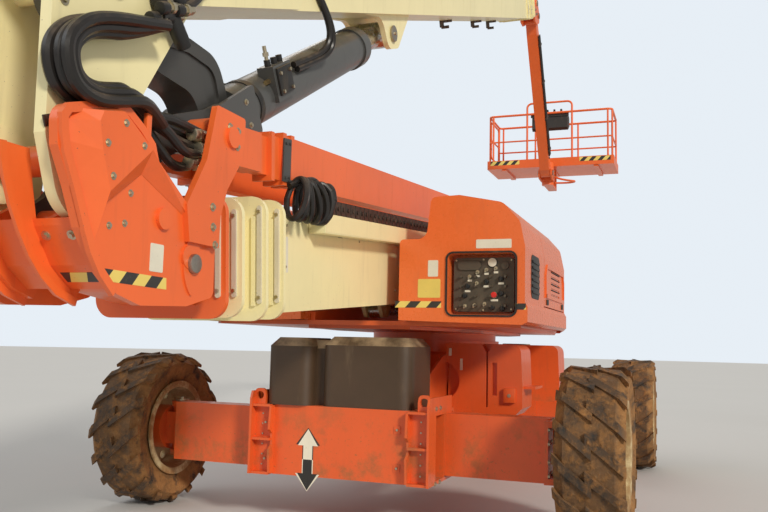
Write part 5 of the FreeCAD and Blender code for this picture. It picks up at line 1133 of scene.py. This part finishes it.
def make_panel_seal():
    """The rubber seal round the recess of the ground controls, and the recess's lining."""
    seal = bmesh.new()
    outer = rounded(0.244, 0.219, 0.050, 6)
    inner = rounded(0.232, 0.207, 0.040, 6)
    place = front(HOOD_FACE, PANEL_Y, PANEL_Z)
    rows = []
    for points, depth in ((outer, 0.0), (outer, 0.008), (inner, 0.008), (inner, -0.060)):
        rows.append([seal.verts.new(place @ Vector((x, y, depth))) for x, y in points])
    for first, second in zip(rows, rows[1:] + rows[:1]):
        for index in range(len(first)):
            after = (index + 1) % len(first)
            seal.faces.new((first[index], first[after], second[after], second[index]))
    piece("panel_seal", seal, "turntable", "knob")


def make_panel_switches():
    """Collars, toggles, knobs, the stop button, the dial, screws and blank tabs."""
    back = HOOD_FACE + PANEL_DEPTH
    rings, knobs, red, pale = meshes(4)
    for across, up, kind in SWITCHES:
        spot = front(back, PANEL_Y - across, PANEL_Z + up)
        if kind == "toggle":
            lever = at(spot, 0, 0, 0.008) @ Matrix.Rotation(math.radians(24), 4, "X")
            drum(rings, spot, 0.013, 0.0, 0.010, 16)
            drum(rings, lever, 0.004, 0.0, 0.034, 10, 0.006)
        elif kind == "knob":
            drum(knobs, spot, 0.019, 0.0, 0.020, 20, 0.016, edge=0.002)
            block(knobs, spot, (-0.005, 0.005), (-0.016, 0.016), (0.018, 0.030), 0.001)
        elif kind == "stop":
            drum(rings, spot, 0.022, 0.0, 0.008, 20)
            drum(red, spot, 0.012, 0.008, 0.020, 18)
            drum(red, spot, 0.021, 0.020, 0.032, 24, 0.018, edge=0.003)
        else:
            drum(pale, spot, 0.030, 0.0, 0.008, 28, edge=0.002)
            drum(knobs, spot, 0.034, -0.001, 0.004, 28)
    for x, y in ((-0.19, 0.165), (0.19, 0.165), (-0.19, -0.165), (0.19, -0.165), (0.0, 0.170),
                 (0.0, -0.172)):
        bolt(rings, front(back, PANEL_Y + x, PANEL_Z + y), 0.014, washer=False)
    for across, up, width in TABS:
        tab = front(back, PANEL_Y - across, PANEL_Z + up)
        slab(pale, tab, rounded(width / 2, 0.007, 0.002, 2), 0.0, 0.001)
    piece("panel_switches", rings, "turntable", "zinc")
    piece("panel_knobs", knobs, "turntable", "knob")
    piece("panel_stop_button", red, "turntable", "red")
    piece("panel_dial_and_tabs", pale, "turntable", "plate")


def make_door_trim():
    """The moulded frame, slots and latches of each hood door, and the hoods' side vents."""
    skin_y = 1.2455
    vents = bmesh.new()
    for name, side in SIDES:
        body = "hood_door_" + name
        surround, latch = meshes(2)
        skin = flank(side, skin_y)
        path = [(-1.285, 1.625), (-1.290, 1.800), (-1.225, 1.880), (-0.420, 1.880), (-0.355, 1.800),
                (-0.360, 1.625), (-1.285, 1.625)]
        slab(surround, skin, ribbon(path, 0.030), -0.004, 0.010)
        for row in range(5):
            z = 1.661 + row * 0.046
            block(latch, skin, (-1.01, -0.58), (z - 0.008, z - 0.001), (-0.004, 0.004), 0.001)
        for x in (-1.20, -0.44):
            slab(latch, at(skin, x, 1.595), rounded(0.038, 0.020, 0.008), -0.002, 0.007)
        piece(body + "_frame", surround, body, "orange_hood")
        piece(body + "_latches", latch, body, "knob")
        vent = beside(side, -1.72, skin_y, 1.74)
        slab(vents, vent, rounded(0.16, 0.15, 0.05, 6), -0.003, 0.002)
        for row in range(6):
            low = -0.115 + row * 0.042
            block(vents, vent, (-0.13, 0.13), (low, low + 0.018), (0.0, 0.010), 0.002)
    piece("hood_side_vents", vents, "turntable", "knob")


BOX_FACE = 2.205  # from the swing axis to an axle box's outer face
BEAM_X = 1.905  # and to the middle of the axle beams


def make_axle_trim():
    """The blank arrow, bolts, pads and reflectors of the chassis, and the bolts of its beams."""
    studs, ink, pale, pads = meshes(4)
    arrow = front(-BOX_FACE, 0.231, 0.452)
    head = ((-0.076, 0.094), (0.0, 0.207), (0.076, 0.094), (0.034, 0.094), (0.034, 0.0),
            (-0.034, 0.0), (-0.034, 0.094))
    edge, printed_film = 0.0010, 0.0018
    slab(ink, arrow, [(x * 1.20, y * 1.03 + 0.002) for x, y in head], 0.0, edge)
    slab(pale, arrow, head, 0.0, printed_film)
    slab(pale, arrow, [(x * 1.20, -y * 1.03) for x, y in reversed(head)], 0.0, edge)
    slab(ink, arrow, [(x, -y) for x, y in reversed(head)], 0.0, printed_film)
    for end in (-1, 1):
        for y in (0.560, -0.420):
            for z in (0.690, 0.440):
                place = endwise(end, BOX_FACE, y, z)
                slab(pads, place, rounded(0.022, 0.026, 0.004), -0.001, 0.006)
                bolt(studs, at(place, 0, 0, 0.006), 0.018, washer=False)
        for side in (-1, 1):
            for z in (0.40, 0.47, 0.54, 0.61, 0.68, 0.75):
                bolt(studs, endwise(end, BOX_FACE, side * 0.585, z), 0.013, washer=False)
            for x in (2.02, 2.12):
                bolt(studs, beside(side, end * x, 0.660, 0.835), 0.022)
                bolt(studs, beside(side, end * x, 0.660, 0.345), 0.022)
    for end in (-1, 1):
        for side in (-1, 1):
            for y, z, high in ((0.478, 1.205, 0.030), (0.570, 1.110, 0.045)):
                reflector = endwise(end, 1.145, side * y, z)
                slab(pale, reflector, rounded(0.011, high, 0.004, 2), 0.0, 0.0015)
            pad = endwise(end, 1.145, side * 0.955, 0.885)
            block(pads, pad, (-0.045, 0.045), (-0.055, 0.055), (-0.001, 0.035), 0.006)
            bolt(studs, at(pad, z=0.035), 0.018)
    piece("chassis_bolts", studs, "chassis", "zinc")
    piece("axle_arrow_dark", ink, "chassis", "ink", smooth=False)
    piece("axle_arrow_pale", pale, "chassis", "pale_ink", smooth=False)
    piece("chassis_pads", pads, "chassis", "orange_low_shaded")
    for end_name, side_name in CORNERS:
        end, side = WAYS[end_name], WAYS[side_name]
        corner = end_name + "_" + side_name
        nuts = bmesh.new()
        for z in (0.430, 0.520, 0.635, 0.725):
            for x in (BEAM_X - 0.075, BEAM_X + 0.075):
                bolt(nuts, beside(side, end * x, 1.380, z), 0.024)
        place = facing((0, 0, 1), (end * BEAM_X, side * 1.460, 0.784), (end, 0, 0))
        drum(nuts, place, 0.052, -0.004, 0.010, 24, edge=0.003)
        bolt(nuts, at(place, 0, 0, 0.010), 0.034, washer=False)
        piece("beam_bolts_" + corner, nuts, "beam_" + corner, "zinc")


def make_wheel_trim():
    """Wheel nuts, hub bolts and tyre valves."""
    count = sizes().wheel_nuts
    for end_name, side_name in CORNERS:
        side = WAYS[side_name]
        corner = end_name + "_" + side_name
        hub = JOINT["spin_" + corner]
        out = (0, side, 0)
        nuts = bmesh.new()
        for x, z in circle(0.185, count, 0.5):
            stud = facing(out, hub + Vector((x, side * 0.026, z)))
            drum(nuts, stud, 0.019, -0.001, 0.024, 6)
            drum(nuts, stud, 0.010, 0.022, 0.036, 10)
        for x, z in circle(0.120, 8):
            bolt(nuts, facing(out, hub + Vector((x, side * 0.105, z))), 0.020, washer=False)
        valve = hub + Vector((0.0, side * 0.026, 0.285))
        drum(nuts, facing(out, valve), 0.008, -0.001, 0.050, 10)
        piece("wheel_nuts_" + corner, nuts, "wheel_" + corner, "bare")


# the platform at rest: its near edge, depth, floor, half width and the height of its top rail
PLATFORM_X = 6.7485
PLATFORM_DEEP = 0.900
PLATFORM_Z = 4.4321
PLATFORM_HALF = 1.095
RAIL_HIGH = 0.940


def make_platform_trim():
    """Hazard bands, middle rail, guard tube and console of the platform, and the jib's fittings."""
    bands = bmesh.new()
    for x, way in ((PLATFORM_X, -1), (PLATFORM_X + PLATFORM_DEEP, 1)):
        for y in (0.78, -0.78):
            stick(bands, facing((way, 0, 0), (x, y, PLATFORM_Z + 0.058)), oblong(0.26, 0.036))
    piece("platform_hazard_bands", bands, "platform", "band_y", smooth=False)
    make_platform_tubes()
    make_console_trim()
    make_jib_trim()


def make_platform_tubes():
    """The middle rail round all sides but the gate's, and the guard tube under the support."""
    x0, x1 = PLATFORM_X + 0.031, PLATFORM_X + PLATFORM_DEEP - 0.031
    half, z = PLATFORM_HALF - 0.031, PLATFORM_Z + 0.447
    rail = [(x0 + 0.049, half), (x0 + 0.020, half), (x0, half - 0.020), (x0, half - 0.10), (x0, 0.0),
            (x0, 0.10 - half), (x0, 0.020 - half), (x0 + 0.020, -half), (x0 + 0.10, -half),
            (x0 + 0.42, -half), (x1 - 0.10, -half), (x1 - 0.020, -half), (x1, 0.020 - half),
            (x1, 0.10 - half), (x1, 0.0), (x1, half - 0.10), (x1, half - 0.020), (x1 - 0.020, half),
            (x1 - 0.049, half)]
    hoses("platform_middle_rails", "platform", [[(x, y, z) for x, y in rail]], 0.014, "orange")
    x = PLATFORM_X - 0.05
    guard = [(x + 0.04, -0.075, 4.20), (x, -0.09, 4.19), (x - 0.01, -0.15, 4.165),
             (x - 0.01, -0.26, 4.130), (x - 0.005, -0.40, 4.105), (x + 0.04, -0.44, 4.108),
             (x + 0.16, -0.42, 4.115), (x + 0.24, -0.26, 4.120), (x + 0.22, -0.075, 4.125)]
    hoses("platform_guard", "platform_support", [guard], 0.017, "orange")


def make_console_trim():
    """Toggles, levers and the stop button of the platform's console."""
    top = PLATFORM_Z + RAIL_HIGH - 0.019
    face = PLATFORM_X + 0.064
    rings, levers, red = meshes(3)
    for y in (-0.27, -0.21, -0.15, -0.09, -0.03, 0.03, 0.09, 0.15, 0.21, 0.27):
        place = facing((0.10, 0, 0.99), (face + 0.185, y, top - 0.028), (-1, 0, 0))
        drum(rings, place, 0.012, -0.010, 0.008, 14)
        drum(rings, place, 0.004, 0.006, 0.030, 8, 0.006)
    for y in (-0.18, -0.06, 0.06, 0.18):
        place = facing((0, 0, 1), (face + 0.140, y, top + 0.070), (1, 0, 0))
        drum(levers, place, 0.021, -0.002, 0.038, 16, 0.017, edge=0.004)
    stop = facing((-1, 0, 0.2), (face, 0.24, top - 0.10))
    drum(red, stop, 0.026, -0.002, 0.030, 20, edge=0.004)
    piece("console_switches", rings, "platform", "zinc")
    piece("console_levers", levers, "platform", "knob")
    piece("console_stop_button", red, "platform", "red")


def make_jib_trim():
    """Pin caps, bolts, hoses and clips of the level knuckle, the jib and the platform's support."""
    tip, upper, lower = JOINT["knuckle_level"], JOINT["jib_lift"], JOINT["platform_level"]
    jib = Slope(upper, (lower - upper).normalized())
    studs, clips, caps = meshes(3)
    for side in (-1, 1):
        for pin in (tip, upper):
            drum(studs, beside(side, pin.x, 0.122, pin.z), 0.044, -0.001, 0.010, 20, edge=0.003)
        for dx, dz in ((-0.06, -0.20), (0.02, -0.16), (-0.10, -0.14)):
            bolt(studs, beside(side, tip.x + dx, 0.114, tip.z + dz), 0.030)
        drum(caps, beside(side, lower.x, 0.120, lower.z), 0.044, -0.001, 0.010, 20, edge=0.003)
        for dx, dz in ((0.12, 0.05), (0.12, -0.06), (0.18, -0.01)):
            bolt(caps, beside(side, lower.x + dx, 0.114, lower.z + dz), 0.024)
    piece("knuckle_bolts", studs, "level_knuckle", "bare")
    lines = [[tuple(jib.spot(u, v, -0.098)) for u in (0.30, 0.8, 1.4, 1.9, 2.30)]
             for v in (0.05, 0.0, -0.05)]
    hoses("jib_hoses", "jib", lines, 0.013)
    for u in (0.45, 1.05, 1.65, 2.2):
        place = jib.beside(-1, u, 0, 0.080)
        block(clips, place, (-0.02, 0.02), (-0.075, 0.075), (-0.002, 0.036), 0.004)
    for u in (0.40, 2.35):
        for side in (-1, 1):
            bolt(clips, jib.beside(side, u, 0, 0.080), 0.028)
    piece("jib_clips", clips, "jib", "chain")
    piece("platform_support_bolts", caps, "platform_support", "bare")


class BOOMLIFT_OT_finishes(bpy.types.Operator):
    """Paint every piece of the frame"""

    bl_idname = "boomlift.finishes"
    bl_label = "Finishes"

    def execute(self, context):
        FINISH.update(make_materials())
        paint_nodes()
        return {"FINISHED"}


class BOOMLIFT_OT_lower(bpy.types.Operator):
    """Dress the chassis, axles, wheels and hoods"""

    bl_idname = "boomlift.lower"
    bl_label = "Chassis and hoods"

    def execute(self, context):
        make_axle_trim()
        make_wheel_trim()
        make_hood_trim()
        return {"FINISHED"}


class BOOMLIFT_OT_booms(bpy.types.Operator):
    """Dress the tower, yoke, main boom, jib and platform"""

    bl_idname = "boomlift.booms"
    bl_label = "Booms and platform"

    def execute(self, context):
        make_tower_trim()
        make_yoke_trim()
        make_boom_trim()
        make_lift_trim()
        make_platform_trim()
        return {"FINISHED"}


class BOOMLIFT_OT_hoses(bpy.types.Operator):
    """Run the hydraulic hoses over the boom's foot"""

    bl_idname = "boomlift.hoses"
    bl_label = "Hose loop"

    def execute(self, context):
        make_hose_loop()
        return {"FINISHED"}


class BOOMLIFT_OT_stage(bpy.types.Operator):
    """Set up the floor, the light and the camera"""

    bl_idname = "boomlift.stage"
    bl_label = "Stage"

    def execute(self, context):
        make_stage()
        return {"FINISHED"}


class BOOMLIFT_PT_panel(bpy.types.Panel):
    """Shows the machine's colours and sizes, and a button for each step that dresses it"""

    bl_idname = "BOOMLIFT_PT_panel"
    bl_label = "Boom Lift"
    bl_space_type = "VIEW_3D"
    bl_region_type = "UI"
    bl_category = "Boom Lift"

    def draw(self, context):
        for group in (colours(), sizes()):
            for name in group.__annotations__:
                self.layout.prop(group, name)
        for operator in OPERATORS:
            self.layout.operator(operator.bl_idname)


OPERATORS = (BOOMLIFT_OT_finishes, BOOMLIFT_OT_lower, BOOMLIFT_OT_booms, BOOMLIFT_OT_hoses,
             BOOMLIFT_OT_stage)
CLASSES = (BoomLiftColours, BoomLiftSizes, *OPERATORS, BOOMLIFT_PT_panel)


def register():
    for made in CLASSES:
        bpy.utils.register_class(made)
    bpy.types.Scene.boom_lift_colours = PointerProperty(type=BoomLiftColours)
    bpy.types.Scene.boom_lift_sizes = PointerProperty(type=BoomLiftSizes)


def unregister():
    del bpy.types.Scene.boom_lift_sizes
    del bpy.types.Scene.boom_lift_colours
    for made in reversed(CLASSES):
        bpy.utils.unregister_class(made)


def main():
    register()
    for operator in OPERATORS:
        getattr(bpy.ops.boomlift, operator.bl_idname.split(".")[1])()


if __name__ == "__main__":
    main()
